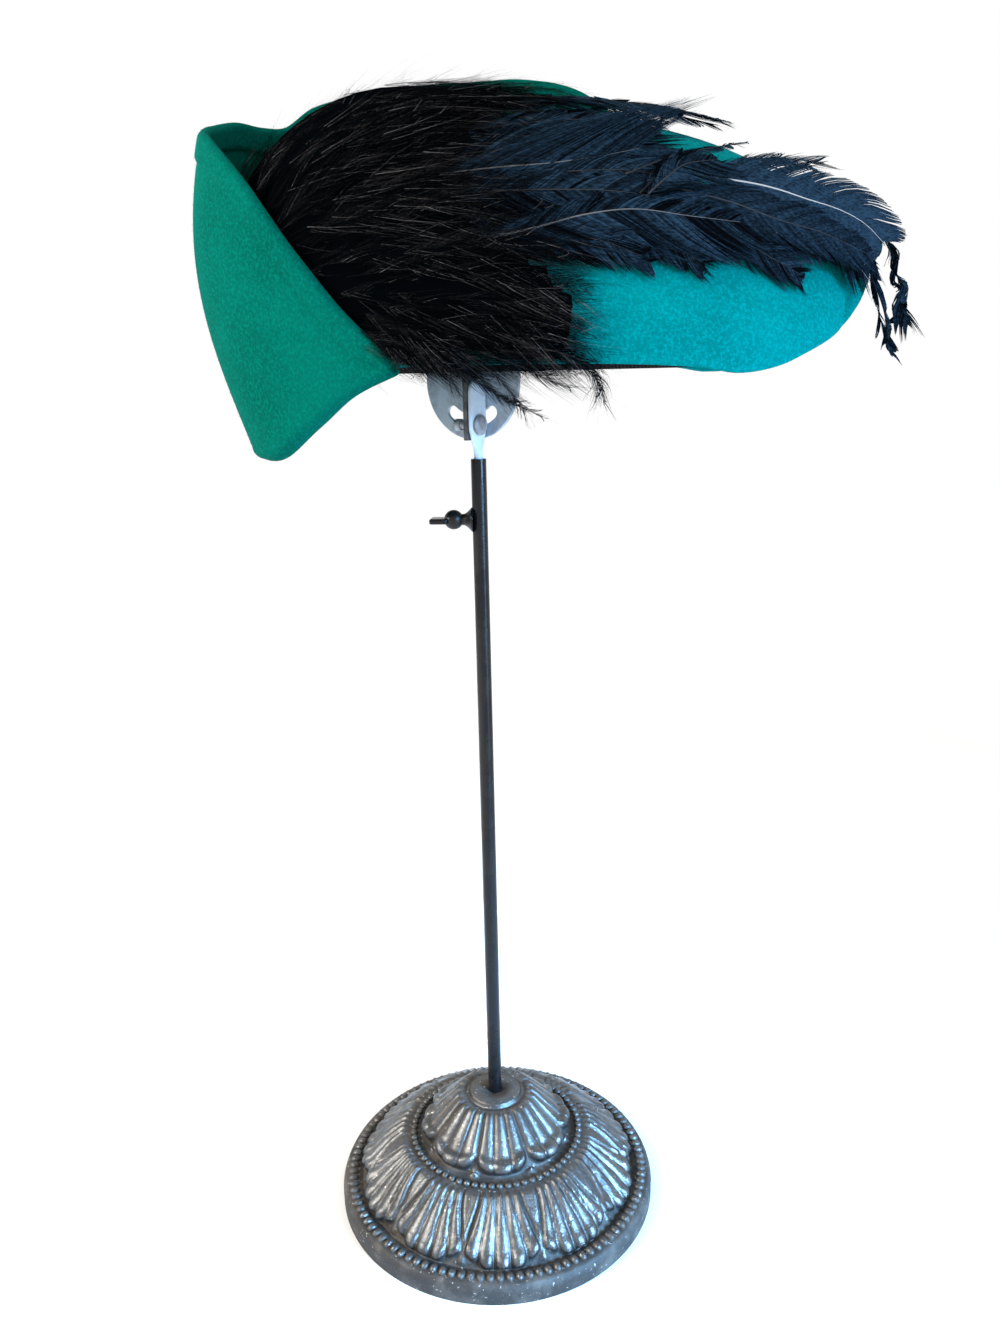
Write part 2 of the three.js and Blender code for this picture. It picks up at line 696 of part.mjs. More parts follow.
// The brim's inner face at a height, in the plane at this angle. Above the lip it is the lip's own place.
function brimFaceAt(angle, z) {
  const face = brimSides(angle)[1].slice(brimFoot);
  let k = 0;
  while (k < face.length - 2 && z > face[k + 1].y) k += 1;
  const at = clamp(z, face[k].y, face[k + 1].y);
  const here = THREE.MathUtils.mapLinear(at, face[k].y, face[k + 1].y, face[k].x, face[k + 1].x);
  return z > face[k + 1].y ? Math.min(here, face[face.length - 1 - lipPlaces.length].x) : here;
}

// How far feathers may stand off the felt before they meet the brim.
function roomFor(angle, share, wanted) {
  const past = Math.max(brimTable[0].angle - angle, angle - brimTable[brimTable.length - 1].angle);
  if (past > stationStep) return wanted;
  let room = featherGap;
  while (room < wanted) {
    const p = crownOffset(angle, share, room + roomStep);
    if (p.x > brimFaceAt(angle, p.y) - troughClearance) return room;
    room += roomStep;
  }
  return wanted;
}

// The crown's own rows between two shares, so that what lies on the felt has facets parallel to it.
function rowsBetween(low, high) {
  return Array.from({ length: crownRows + 1 }, (_, j) => clamp(j / crownRows, low, high));
}

function crownPlace(angle, share, distance) {
  const line = crownOffset(angle, share, distance);
  return placeAt(angle, line.x, line.y);
}

// Soft feathers heaped over the back of the crown and down into the trough behind the brim.
function makeHackle() {
  const form = heapForm;
  const angles = stations(hackleTable[0].angle, hackleTable[hackleTable.length - 1].angle);
  const starts = angles.map((angle) => readTable(hackleTable, angle, "start"));
  const top = angles.map((angle, i) =>
    rowsBetween(starts[i], 1).map((share) => {
      const fromEnd = Math.min(angle - angles[0], angles[angles.length - 1] - angle);
      const startEdge = Math.min(1, form.thinStart + form.thicken * (share - starts[i]));
      const edge = startEdge * Math.min(1, form.thinEnd + fromEnd / form.endAngle);
      const fill = troughFill * readTable(hackleTable, angle, "fill");
      const heap = fill * Math.sin(Math.PI * Math.min(1, share * form.crest));
      const body = clamp((1 - share) * form.fade, 0, 1);
      const wanted = hackleDepth * (body * edge + 1 - body) + Math.max(heap, 0) * body;
      return crownPlace(angle, share, Math.max(roomFor(angle, share, wanted), 2 * featherGap));
    }),
  );
  const bottom = angles.map((angle, i) => {
    return rowsBetween(starts[i], 1).map((share) => crownPlace(angle, share, featherGap));
  });
  add("hackle_feathers", slab(top, bottom, false), "hackle");
}

// One fan of long feathers over the narrow end, thinning to its edges and lifting off the felt at its end.
function makeSpray({ name, from, to, root, end, lift }) {
  const angles = stations(from, to);
  const grid = (top) =>
    angles.map((angle) => {
      const middle = 1 - Math.abs((2 * (angle - from)) / (to - from) - 1);
      const tip = end + (1 - middle) * fanForm.shorter;
      return rowsBetween(tip, root).map((share) => {
        const reach = (root - share) / (root - tip);
        const raised = featherGap + sprayLift * lift * reach ** 2;
        const full = Math.sin(Math.PI * Math.min(0.5, middle)) * (1 - fanForm.thinEnd * reach);
        const depth = sprayDepth * (fanForm.thinEdge + (1 - fanForm.thinEdge) * full);
        return crownPlace(angle, share, raised + (top ? depth : 0));
      });
    });
  add(name, slab(grid(true), grid(false), false), "coque");
}

// A loose feather end: a flat strip along a bent line.
function makeStrand({ name, angle, up, off, bend, end }) {
  const start = crownPlace(angle, up, featherGap + strandLength * off + strandThickness / 2);
  const points = [[0, 0, 0], bend, end].map((p) => {
    return new THREE.Vector3(...p).multiplyScalar(strandLength).add(start);
  });
  const route = new THREE.QuadraticBezierCurve3(...points);
  const section = new THREE.Shape().absellipse(0, 0, strandThickness / 2, strandWidth / 2, 0, 2 * Math.PI);
  const options = { extrudePath: route, steps: strandSteps, curveSegments: 4 };
  add(name, facedOut(welded(new THREE.ExtrudeGeometry(section, options))), "coque");
}

makeBase();
makeTube();
makeScrew();
makeSlideRod();
makePlate();
makeRivet();
makeSupport();
makeCrown();
makeBrim();
makeRibbon();
makeHackle();
sprayTable.forEach(makeSpray);
strandTable.forEach(makeStrand);

export default hat;
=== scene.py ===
"""A felt hat with feathers on its display stand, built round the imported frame.

Lengths are in metres and angles in degrees, unless a comment says that they are in millimetres or pixels.
+X is the hat's narrow end and -Y its front.
"""

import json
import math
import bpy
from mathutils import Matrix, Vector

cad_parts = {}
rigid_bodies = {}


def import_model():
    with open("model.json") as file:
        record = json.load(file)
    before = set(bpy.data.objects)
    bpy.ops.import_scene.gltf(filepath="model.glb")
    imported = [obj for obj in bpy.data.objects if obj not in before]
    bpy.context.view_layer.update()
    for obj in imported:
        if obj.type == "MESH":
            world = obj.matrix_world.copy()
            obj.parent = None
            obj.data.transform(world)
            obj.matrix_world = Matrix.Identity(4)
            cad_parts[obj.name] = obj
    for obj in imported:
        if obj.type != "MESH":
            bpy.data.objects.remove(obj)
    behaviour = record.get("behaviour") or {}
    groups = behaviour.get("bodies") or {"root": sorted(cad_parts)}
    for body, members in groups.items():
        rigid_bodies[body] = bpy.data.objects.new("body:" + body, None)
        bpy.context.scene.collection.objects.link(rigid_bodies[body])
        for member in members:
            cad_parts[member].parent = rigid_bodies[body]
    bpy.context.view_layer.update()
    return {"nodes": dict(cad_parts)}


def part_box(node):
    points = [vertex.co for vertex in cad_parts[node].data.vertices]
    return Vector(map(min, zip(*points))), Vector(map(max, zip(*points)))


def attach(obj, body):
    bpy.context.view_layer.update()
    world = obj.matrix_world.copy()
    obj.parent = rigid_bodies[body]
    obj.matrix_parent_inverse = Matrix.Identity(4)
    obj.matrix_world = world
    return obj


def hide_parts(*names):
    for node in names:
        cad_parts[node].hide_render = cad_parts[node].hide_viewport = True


bl_info = {
    "name": "Feather Hat on a Stand",
    "version": (1, 0, 0),
    "blender": (4, 5, 0),
    "location": "3D View > Sidebar > Feather Hat",
    "description": "Builds the felt, ribbon, feathers and stand of a feather hat",
    "category": "Object",
}

import bmesh
import bpy
import numpy as np
from bpy.props import FloatProperty, FloatVectorProperty, IntProperty, PointerProperty
from mathutils import Euler, Matrix, Vector
from mathutils.bvhtree import BVHTree

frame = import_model()

MM = 0.001
BODY = "root"

# Powers of the crown's plan and of its upright section.
PLAN_POWER = 2.15
DOME_POWER = 2.15
DROP_POWER = 1.5

# Height of the hem round the crown, as shares of the prow's rise. Angles count from the narrow end.
HEM_TABLE = {
    "angle": (0, 12, 20, 30, 40, 47, 55, 62, 75, 95, 180),
    "rise": (1, 0.96, 0.68, 0.34, 0.1, -0.05, -0.115, -0.04, 0.02, 0.04, 0),
}

# Sections of the brim from its far end, round the back, to its near end, as shares of the brim's sizes.
BRIM_TABLE = {
    "angle": (50, 60, 70, 80, 90, 105, 120, 128, 142, 150, 158, 168, 180, 190, 200, 215, 230, 240, 250),
    "drop": (0, 0, 0, 0, 0, 0, 0, 0.05, 0.33, 0.56, 0.75, 0.94, 1, 0.98, 0.95, 0.92, 0.58, 0.28, 0.08),
    "lip": (
        0.06, 0.34, 0.68, 0.915, 1, 1, 0.985, 0.96, 0.9, 0.825,
        0.808, 0.802, 0.758, 0.71, 0.67, 0.53, 0.31, 0.155, 0.03,
    ),
    "flare": (
        0.05, 0.1, 0.16, 0.2, 0.24, 0.3, 0.42, 0.5, 0.72, 0.82,
        0.87, 0.93, 0.97, 0.85, 0.65, 0.32, 0.12, 0.05, 0.02,
    ),
    "fold": (0.4, 0.5, 0.6, 0.6, 0.6, 0.6, 0.7, 0.8, 0.9, 1, 1, 1, 1, 1, 1, 0.9, 0.7, 0.5, 0.35),
}

# Skin of the cast base, from its foot to its top: shares of the base's radius and of its height.
BASE_TABLE = {
    "out": (
        1, 1, 0.982, 0.948, 0.925, 0.9, 0.866, 0.845, 0.787, 0.682, 0.604,
        0.545, 0.514, 0.487, 0.44, 0.42, 0.367, 0.289, 0.236, 0.197, 0.171, 0.156,
    ),
    "up": (
        0, 0.115, 0.17, 0.185, 0.185, 0.18, 0.158, 0.212, 0.308, 0.452, 0.538,
        0.572, 0.572, 0.56, 0.577, 0.654, 0.75, 0.865, 0.942, 0.971, 0.952, 1,
    ),
}


# Sizes and colours that can be set


def length(name, value, description, high=1.0):
    """A length property in metres."""
    return FloatProperty(
        name=name,
        description=description,
        default=value,
        min=0.0,
        max=high,
        precision=4,
        unit="LENGTH",
        subtype="DISTANCE",
    )


def colour(name, value, description):
    """A colour property."""
    return FloatVectorProperty(
        name=name, description=description, default=value, size=3, min=0.0, max=1.0, subtype="COLOR"
    )


def whole(name, value, description, low=3):
    """A property that is a whole number."""
    return IntProperty(name=name, description=description, default=value, min=low, max=9999)


def plain(name, value, description):
    """A property that is a plain number."""
    return FloatProperty(name=name, description=description, default=value)


class HatSizes(bpy.types.PropertyGroup):
    """Sizes of the felt hat."""

    hem_height: length("Hem height", 0.3905, "Height of the hem above the ground")
    crown_height: length("Crown height", 0.09, "Height of the crown above its hem")
    crown_middle: length("Crown middle", 0.02, "Place of the crown's middle ahead of the stand")
    crown_back: length("Crown back", 0.1, "Reach of the crown behind its middle")
    crown_front: length("Crown front", 0.13, "Reach of the crown ahead of its middle")
    crown_half_width: length("Crown half width", 0.078, "Half of the crown's width")
    felt_wall: length("Felt wall", 0.0022, "Thickness of the felt")
    prow_rise: length("Prow rise", 0.028, "Rise of the hem at the narrow end")
    prow_dent: length("Prow dent", 0.001, "Depth of the dent at the narrow end")
    prow_crease: length("Prow crease", 0.003, "Depth of the narrow crease in the dent")
    brim_height: length("Brim height", 0.123, "Greatest height of the brim's lip above the hem")
    brim_drop: length("Brim drop", 0.034, "Greatest drop of the brim's fold below the hem")
    brim_seam: length("Brim seam", 0.006, "Height of the seam that joins the brim to the crown")
    brim_flare: length("Brim flare", 0.0195, "Greatest flare of the brim away from the crown")
    fold_radius: length("Fold radius", 0.004, "Radius of the brim's fold")
    lip_thickness: length("Lip thickness", 0.0044, "Thickness of the doubled lip")
    lip_band: length("Lip band", 0.0092, "Height of the doubled lip")
    ribbon_height: length("Ribbon height", 0.021, "Height of the ribbon in the hem")
    ribbon_wall: length("Ribbon wall", 0.0008, "Thickness of the ribbon")


class FeatherSizes(bpy.types.PropertyGroup):
    """Sizes and numbers of the feathers."""

    soft_length: length("Soft feather length", 0.05, "Length of one soft feather")
    soft_reach: length("Soft feather reach", 0.0075, "How far a soft feather's barbs reach sideways")
    soft_count: whole("Soft feathers", 540, "Number of soft feathers in each half", low=10)
    barb_width: length("Barb width", 0.00042, "Width of a soft feather's barb at its root")
    quill_radius: length("Quill radius", 0.00036, "Radius of a long feather's shaft at its root")
    seed: whole("Seed", 7, "Seed of the feathers' chance", low=0)


class StandSizes(bpy.types.PropertyGroup):
    """Sizes of the stand."""

    base_diameter: length("Base diameter", 0.1524, "Diameter of the cast base")
    base_height: length("Base height", 0.052, "Height of the cast base")
    tube_diameter: length("Tube diameter", 0.0064, "Outer diameter of the tube")
    tube_top: length("Tube top", 0.355, "Height of the tube's upper end")
    plate_diameter: length("Plate diameter", 0.0475, "Diameter of the round plate")
    leaf_relief: length("Leaf relief", 0.0026, "Height of the cast leaves")
    bead_outer: length("Outer bead", 0.0022, "Radius of a bead of the outer ring")
    bead_inner: length("Inner bead", 0.0018, "Radius of a bead of the inner ring")
    outer_beads: whole("Outer beads", 104, "Beads in the outer ring")
    inner_beads: whole("Inner beads", 66, "Beads in the inner ring")
    leaves: whole("Leaves", 11, "Leaves of the outer ring")
    lobes: whole("Lobes", 8, "Lobes of the inner bell")


class HatColours(bpy.types.PropertyGroup):
    """Colours of the finishes."""

    crown_felt: colour("Crown felt", (0.0, 0.19, 0.196), "Felt of the crown")
    # The brim's felt is darker and greener than the crown's: partly its own colour and partly painted shade,
    # as the flap takes less and warmer light than the crown.
    brim_felt: colour("Brim felt", (0.0, 0.096, 0.073), "Felt of the brim")
    ribbon: colour("Ribbon", (0.008, 0.008, 0.009), "Ribbon in the hem")
    soft_dark: colour("Soft feathers", (0.0008, 0.0012, 0.0018), "Dark barbs of the soft feathers")
    # Pale barbs of the soft feathers: partly their own paler brown, partly painted glints on the glossy
    # barbs.
    soft_pale_and_glint: colour("Pale barbs", (0.125, 0.12, 0.12), "Pale barbs of the soft feathers")
    long_dark: colour("Long feathers", (0.0015, 0.002, 0.003), "Dark barbs of the long feathers")
    # The long feathers' pale barbs are painted sheen: the blue gloss of the vanes, as their material
    # reflects nothing.
    long_sheen: colour("Long feather sheen", (0.019, 0.045, 0.078), "Pale barbs of the long feathers")
    # The pale quill colour paints the highlight along a glossy shaft.
    quill: colour("Quill", (0.62, 0.64, 0.66), "Pale shafts")
    casting: colour("Casting", (0.135, 0.137, 0.136), "Worn ridges of the casting")
    # The hollows' colour stands for dusty patina and for painted shade in them.
    dust_and_shade: colour("Dust and shade", (0.042, 0.037, 0.032), "Hollows of the casting")
    black_steel: colour("Black steel", (0.003, 0.0035, 0.005), "Enamel of the tube")
    zinc: colour("Zinc", (0.4, 0.49, 0.59), "Zinc of the plate and the paddle")
    rust: colour("Rust", (0.16, 0.15, 0.15), "Rust on the rivet")


class StageSizes(bpy.types.PropertyGroup):
    """Camera and light."""

    camera_place: FloatVectorProperty(
        name="Camera", description="Place of the camera", default=(0.0534, -0.4407, 0.39), unit="LENGTH"
    )
    pitch: plain("Pitch", 15.62, "Camera's tilt down in degrees")
    yaw: plain("Yaw", 6.01, "Camera's turn to the left in degrees")
    roll: plain("Roll", -1.28, "Camera's roll in degrees")
    focal: plain("Focal length", 1060.0, "Focal length in photo pixels")
    floor_size: length("Floor", 6.0, "Width of the floor", high=20.0)
    world_light: plain("World", 1.0, "Strength of the even light")
    key_light: plain("Key light", 30.0, "Power of the large lamp in watts")
    strip_light: plain("Strip light", 2.6, "Power of the narrow side lamp in watts")
    cool_light: plain("Cool light", 3.5, "Power of the cool side lamp in watts")


PHOTO_WIDTH = 1000
PHOTO_HEIGHT = 1333
SENSOR = 36.0


# Curves and tables


def read_table(table, angle, column):
    """A smooth curve through a table's rows, read at one or more angles."""
    at = np.asarray(table["angle"], float)
    value = np.asarray(table[column], float)
    angle = np.clip(angle, at[0], at[-1])
    low = np.clip(np.searchsorted(at, angle) - 1, 0, len(at) - 2)
    before = np.maximum(np.arange(len(at)) - 1, 0)
    after = np.minimum(np.arange(len(at)) + 1, len(at) - 1)
    slope = (value[after] - value[before]) / (at[after] - at[before])
    span = at[low + 1] - at[low]
    s = (angle - at[low]) / span
    step = value[low + 1] - value[low]
    bend = s * (1 - s) * ((1 - s) * (slope[low] * span - step) - s * (slope[low + 1] * span - step))
    return value[low] + step * s + bend


def ease(low, high, value):
    """0 below low, 1 above high and a smooth step between."""
    s = np.clip((np.asarray(value, float) - low) / (high - low), 0, 1)
    return s * s * (3 - 2 * s)


def hump(*offsets):
    """A smooth bump: 1 where every offset is 0, and near 0 where one of them is large."""
    return np.exp(-sum(offset**2 for offset in offsets))


def unit(vectors):
    """Vectors brought to length 1."""
    size = np.linalg.norm(vectors, axis=-1, keepdims=True)
    return vectors / np.maximum(size, 1e-12)


def full_turn(steps):
    """Even steps of one turn, in radians."""
    return np.linspace(0, 2 * math.pi, steps, endpoint=False)


def smooth_route(points, rows):
    """A smooth curve through a few points, with rows evenly spaced in its parameter."""
    points = np.asarray(points, float)
    padded = np.vstack([2 * points[0] - points[1], points, 2 * points[-1] - points[-2]])
    at = np.linspace(0, len(points) - 1, rows)
    k = np.minimum(at.astype(int), len(points) - 2)
    t = (at - k)[:, None]
    a, b, c, d = padded[k], padded[k + 1], padded[k + 2], padded[k + 3]
    return 0.5 * (2 * b + (c - a) * t + (2 * a - 5 * b + 4 * c - d) * t**2 + (3 * b - a - 3 * c + d) * t**3)


# Form of the hat: points in the upright plane through the crown's middle at each angle


def signed_turn(angle):
    """An angle from the narrow end, between -180 and 180."""
    return (np.asarray(angle, float) + 180) % 360 - 180


def plan_point(sizes, angle, front=None, trim=0.0):
    """Plan of the hem: a rounded oval, longer towards the narrow end. front and trim make it smaller."""
    turn = np.radians(angle)
    c, s = np.cos(turn), np.sin(turn)
    power = 2 / PLAN_POWER
    ahead = sizes.crown_front if front is None else front
    x = np.where(c > 0, ahead, sizes.crown_back - trim) * np.sign(c) * np.abs(c) ** power
    y = (sizes.crown_half_width - trim) * np.sign(s) * np.abs(s) ** power
    return np.stack([x, y], -1)


def place_at(sizes, angle, out, up):
    """Points out from the crown's middle at an angle, and up."""
    way = unit(plan_point(sizes, angle))
    return np.stack([sizes.crown_middle + way[..., 0] * out, way[..., 1] * out, up + 0 * out], -1)


def hem_height(sizes, angle):
    """Height of the hem."""
    return sizes.hem_height + sizes.prow_rise * read_table(HEM_TABLE, np.abs(signed_turn(angle)), "rise")


def dent_depth(sizes, angle, share):
    """Depth of the dent at the narrow end, with the crease in it that leans with the height."""
    turn = signed_turn(angle)
    dent_angle, dent_spread, dent_share, dent_height = 24, 6, 0.2, 0.22
    crease_angle, crease_spread, crease_share, crease_height = 28 - 60 * share, 1.8, 0.1, 0.07
    dent = hump((turn + dent_angle) / dent_spread, (share - dent_share) / dent_height)
    crease = hump((turn + crease_angle) / crease_spread, (share - crease_share) / crease_height)
    return sizes.prow_dent * dent + sizes.prow_crease * crease


def crown_line(sizes, angle, share):
    """The felt's outside from the hem, share 0, to the top, share 1: how far out and how high."""
    turn = np.clip(1 - share, 0, 1) * math.pi / 2
    out = np.sin(turn) ** (2 / DOME_POWER)
    up = np.cos(turn) ** (2 / DROP_POWER)
    hem = hem_height(sizes, angle)
    top = sizes.hem_height + sizes.crown_height
    reach = np.linalg.norm(plan_point(sizes, angle), axis=-1)
    return np.stack([reach * out - dent_depth(sizes, angle, share), hem + (top - hem) * up], -1)


def crown_place(sizes, angle, share, distance):
    """A point that stands a distance off the felt's outside."""
    angle, share = np.broadcast_arrays(np.asarray(angle, float), np.asarray(share, float))
    step = 0.004
    here = crown_line(sizes, angle, share)
    above = crown_line(sizes, angle, np.minimum(share + step, 1))
    along = above - crown_line(sizes, angle, np.maximum(share - step, 0))
    normal = unit(np.stack([along[..., 1], -along[..., 0]], -1))
    at_top = (share > 1 - step)[..., None]
    normal = np.where(at_top, np.array([0.0, 1.0]), normal)
    there = here + normal * distance
    out = np.where(at_top[..., 0], 0, there[..., 0])
    return place_at(sizes, angle, out, there[..., 1])


def crown_grid(sizes, angles, shares, distance):
    """A grid of points that stand a distance off the felt's outside."""
    return crown_place(sizes, angles[:, None], shares[None, :], distance)


def outward_ways(sizes, angle, share):
    """The directions away from the felt's outside."""
    return unit(crown_place(sizes, angle, share, 1 * MM) - crown_place(sizes, angle, share, 0.0))


def brim_section(sizes, angle):
    """Middle line of the brim's felt at one angle, and half its thickness there."""
    columns = ("drop", "lip", "flare", "fold")
    drop_share, lip_share, flare_share, fold_share = (
        float(read_table(BRIM_TABLE, angle, column)) for column in columns
    )
    wall = sizes.felt_wall
    hem = float(hem_height(sizes, angle))
    fold = sizes.fold_radius * fold_share
    low = hem - sizes.brim_drop * drop_share + wall / 2
    lip = hem + sizes.brim_height * lip_share
    seam_gap = 0.35 * MM
    inside = float(np.linalg.norm(plan_point(sizes, angle))) + seam_gap + wall / 2
    seam_top = hem + min(sizes.brim_seam, (lip - hem) * 0.6)
    turn = np.linspace(0, math.pi, 17)
    bend = np.stack([inside + fold - fold * np.cos(turn), low + fold - fold * np.sin(turn)], 1)
    inner_leg = np.stack([np.full(6, inside), np.linspace(seam_top, low + fold, 7)[:-1]], 1)
    foot = bend[-1]
    height = lip - foot[1]
    round_edge = min(sizes.lip_thickness / 2, height * 0.3)
    band = min(sizes.lip_band, height * 0.6)
    # Finer steps where the doubled lip is stitched on, where the flap is high enough for them.
    stitch_room = ease(10 * MM, 30 * MM, height)
    from_lip = np.concatenate(
        [
            height - np.linspace(0, height - band - 2.7 * MM * stitch_room, 40)[1:-1],
            band + np.linspace(2.4, 0.3, 7) * MM * stitch_room,
            np.linspace(band, round_edge, 14),
            round_edge * (1 - np.sin(np.linspace(0, math.pi / 2, 8)[1:])),
        ]
    )
    share = 1 - from_lip / height
    belly_place = 0.63
    flare = sizes.brim_flare * flare_share * np.sin(math.pi / 2 * share / belly_place)
    outer_leg = np.stack([foot[0] + flare, foot[1] + height * share], 1)
    line = np.vstack([inner_leg, bend, outer_leg])
    doubled = 1 - ease(band - 1.4 * MM, band + 2.4 * MM, from_lip)
    stitch_depth, stitch_place, stitch_width = 0.3 * MM, 1.2 * MM, 0.9 * MM
    stitched = stitch_depth * hump((from_lip - band - stitch_place) / stitch_width)
    half = wall / 2 + (sizes.lip_thickness / 2 - wall / 2) * doubled - stitched
    edge = np.clip(1 - from_lip / max(round_edge, 1e-6), 0, 1)
    thinnest = 0.02
    half = half * np.sqrt(np.maximum(1 - edge**2, thinnest**2))
    return line, np.concatenate([np.full(len(inner_leg) + len(bend), wall / 2), half])


# Meshes from arrays


def grid_faces(rows, columns, closed=False, first=0, flip=False):
    """Quads of a grid of points that is stored row by row."""
    i = np.arange(rows if closed else rows - 1)[:, None]
    j = np.arange(columns - 1)[None, :]
    a = first + i * columns + j
    b = first + ((i + 1) % rows) * columns + j
    faces = np.stack([a, b, b + 1, a + 1], -1).reshape(-1, 4)
    return faces[:, ::-1] if flip else faces


def slab(outer, inner, closed=False):
    """A closed wall between two grids of points of the same size."""
    rows, columns = outer.shape[:2]
    points = np.vstack([outer.reshape(-1, 3), inner.reshape(-1, 3)])
    size = rows * columns
    faces = [grid_faces(rows, columns, closed), grid_faces(rows, columns, closed, size, True)]
    i = np.arange(rows if closed else rows - 1)
    n = (i + 1) % rows
    for j, flip in ((0, True), (columns - 1, False)):
        a, b = i * columns + j, n * columns + j
        edge = np.stack([a, b, size + b, size + a], 1)
        faces.append(edge[:, ::-1] if flip else edge)
    if not closed:
        j = np.arange(columns - 1)
        for row, flip in ((0, False), (rows - 1, True)):
            a = row * columns + j
            edge = np.stack([a, a + 1, size + a + 1, size + a], 1)
            faces.append(edge[:, ::-1] if flip else edge)
    return points, np.vstack(faces)


def link_piece(name, data):
    """A new object in the scene."""
    piece = bpy.data.objects.new(name, data)
    bpy.context.scene.collection.objects.link(piece)
    return piece


def shade_smooth(mesh, smooth=True):
    """Shades every face of a mesh smooth, or flat."""
    mesh.polygons.foreach_set("use_smooth", [smooth] * len(mesh.polygons))


def write_attributes(mesh, attributes):
    """Writes numbers, whole numbers or vectors to a mesh's points."""
    for name, values in attributes.items():
        values = np.asarray(values)
        kind, field, stored = "FLOAT", "value", np.float32
        if values.ndim == 2:
            kind, field = "FLOAT_VECTOR", "vector"
        elif values.dtype.kind == "i":
            kind, stored = "INT", np.int32
        layer = mesh.attributes.new(name, kind, "POINT")
        layer.data.foreach_set(field, values.astype(stored).ravel())


def new_mesh(name, points, faces, smooth=True, attributes=None, clean=True):
    """A mesh object from arrays, with its doubles merged and its faces turned outwards."""
    mesh = bpy.data.meshes.new(name)
    mesh.from_pydata(np.asarray(points, float).tolist(), [], np.asarray(faces).tolist())
    write_attributes(mesh, attributes or {})
    if clean:
        work = bmesh.new()
        work.from_mesh(mesh)
        bmesh.ops.remove_doubles(work, verts=work.verts, dist=1e-6)
        bmesh.ops.dissolve_degenerate(work, dist=1e-7, edges=work.edges)
        bmesh.ops.recalc_face_normals(work, faces=work.faces)
        work.to_mesh(mesh)
        work.free()
    shade_smooth(mesh, smooth)
    mesh.update()
    return link_piece(name, mesh)


def finish_piece(piece, finish, slot, *nodes):
    """Gives a piece its material and its body, and hides the frame's nodes that it stands for. slot is not
    used.
    """
    if finish is not None:
        piece.data.materials.clear()
        piece.data.materials.append(finish)
    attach(piece, BODY)
    if nodes:
        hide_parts(*nodes)
    return piece


def spun(out, up, turn):
    """A grid of points: an outline's distances out and heights, carried round Z."""
    level = np.broadcast_to(up, (len(turn), up.shape[-1]))
    return np.stack([out * np.cos(turn)[:, None], out * np.sin(turn)[:, None], level], -1)


def turned(profile, steps):
    """Points and faces of a closed outline of (radius, height) pairs turned about Z."""
    profile = np.asarray(profile, float)
    points = spun(profile[:, 0], profile[:, 1], full_turn(steps))
    columns = len(profile)
    i = np.arange(steps)[:, None]
    j = np.arange(columns)[None, :]
    n, m = (i + 1) % steps, (j + 1) % columns
    faces = np.stack([i * columns + j, n * columns + j, n * columns + m, i * columns + m], -1).reshape(-1, 4)
    return points.reshape(-1, 3), faces


def rounded(profile, radius):
    """An outline whose corners are rounded."""
    profile = np.asarray(profile, float)
    count = len(profile)
    result = []
    for k in range(count):
        corner, before, after = profile[k], profile[k - 1], profile[(k + 1) % count]
        in_way, out_way = before - corner, after - corner
        reach = min(radius, np.linalg.norm(in_way) * 0.45, np.linalg.norm(out_way) * 0.45)
        on_axis = abs(corner[0]) < 1e-9
        if on_axis or reach < 1e-7:
            result.append(corner)
            continue
        start = corner + unit(in_way) * reach
        end = corner + unit(out_way) * reach
        for t in np.linspace(0, 1, 4):
            result.append((1 - t) ** 2 * start + 2 * t * (1 - t) * corner + t**2 * end)
    return np.array(result)


def moved(points, matrix):
    """Points carried by a 4x4 matrix."""
    m = np.array(matrix, float)
    return np.asarray(points) @ m[:3, :3].T + m[:3, 3]


def joined(parts):
    """Several pairs of points and faces as one pair. Faces have the same number of corners."""
    points, faces, first = [], [], 0
    for part_points, part_faces in parts:
        points.append(part_points)
        faces.append(np.asarray(part_faces) + first)
        first += len(part_points)
    return np.vstack(points), np.vstack(faces)


def tree_of(points, faces):
    """A search tree over a mesh in arrays."""
    return BVHTree.FromPolygons([Vector(p) for p in points], [list(map(int, f)) for f in faces])


# Shader nodes


def add_node(tree, kind, settings=None, inputs=None):
    """A shader or geometry node with its settings and the values of its inputs."""
    node = tree.nodes.new(kind)
    for key, value in (settings or {}).items():
        setattr(node, key, value)
    for key, value in (inputs or {}).items():
        if isinstance(value, bpy.types.NodeSocket):
            tree.links.new(value, node.inputs[key])
        else:
            node.inputs[key].default_value = value
    return node


def mix_colour(tree, factor, first, second):
    """The output of a colour mix. A colour is an RGBA tuple or a socket."""
    inputs = {0: factor, 6: first, 7: second}
    return add_node(tree, "ShaderNodeMix", {"data_type": "RGBA"}, inputs).outputs[2]


def ramp(tree, value, low, high, floor=0.0, top=1.0):
    """A value carried from one range to another, held inside it."""
    node = add_node(
        tree,
        "ShaderNodeMapRange",
        {"clamp": True, "interpolation_type": "SMOOTHSTEP"},
        {"Value": value, "From Min": low, "From Max": high, "To Min": floor, "To Max": top},
    )
    return node.outputs["Result"]


def compute(tree, operation, first, second):
    """The result of a math node."""
    return add_node(tree, "ShaderNodeMath", {"operation": operation}, {0: first, 1: second}).outputs[0]


def rgba(value, gain=1.0):
    """A colour property as RGBA, made brighter or darker."""
    return (*[min(c * gain, 1.0) for c in value], 1.0)


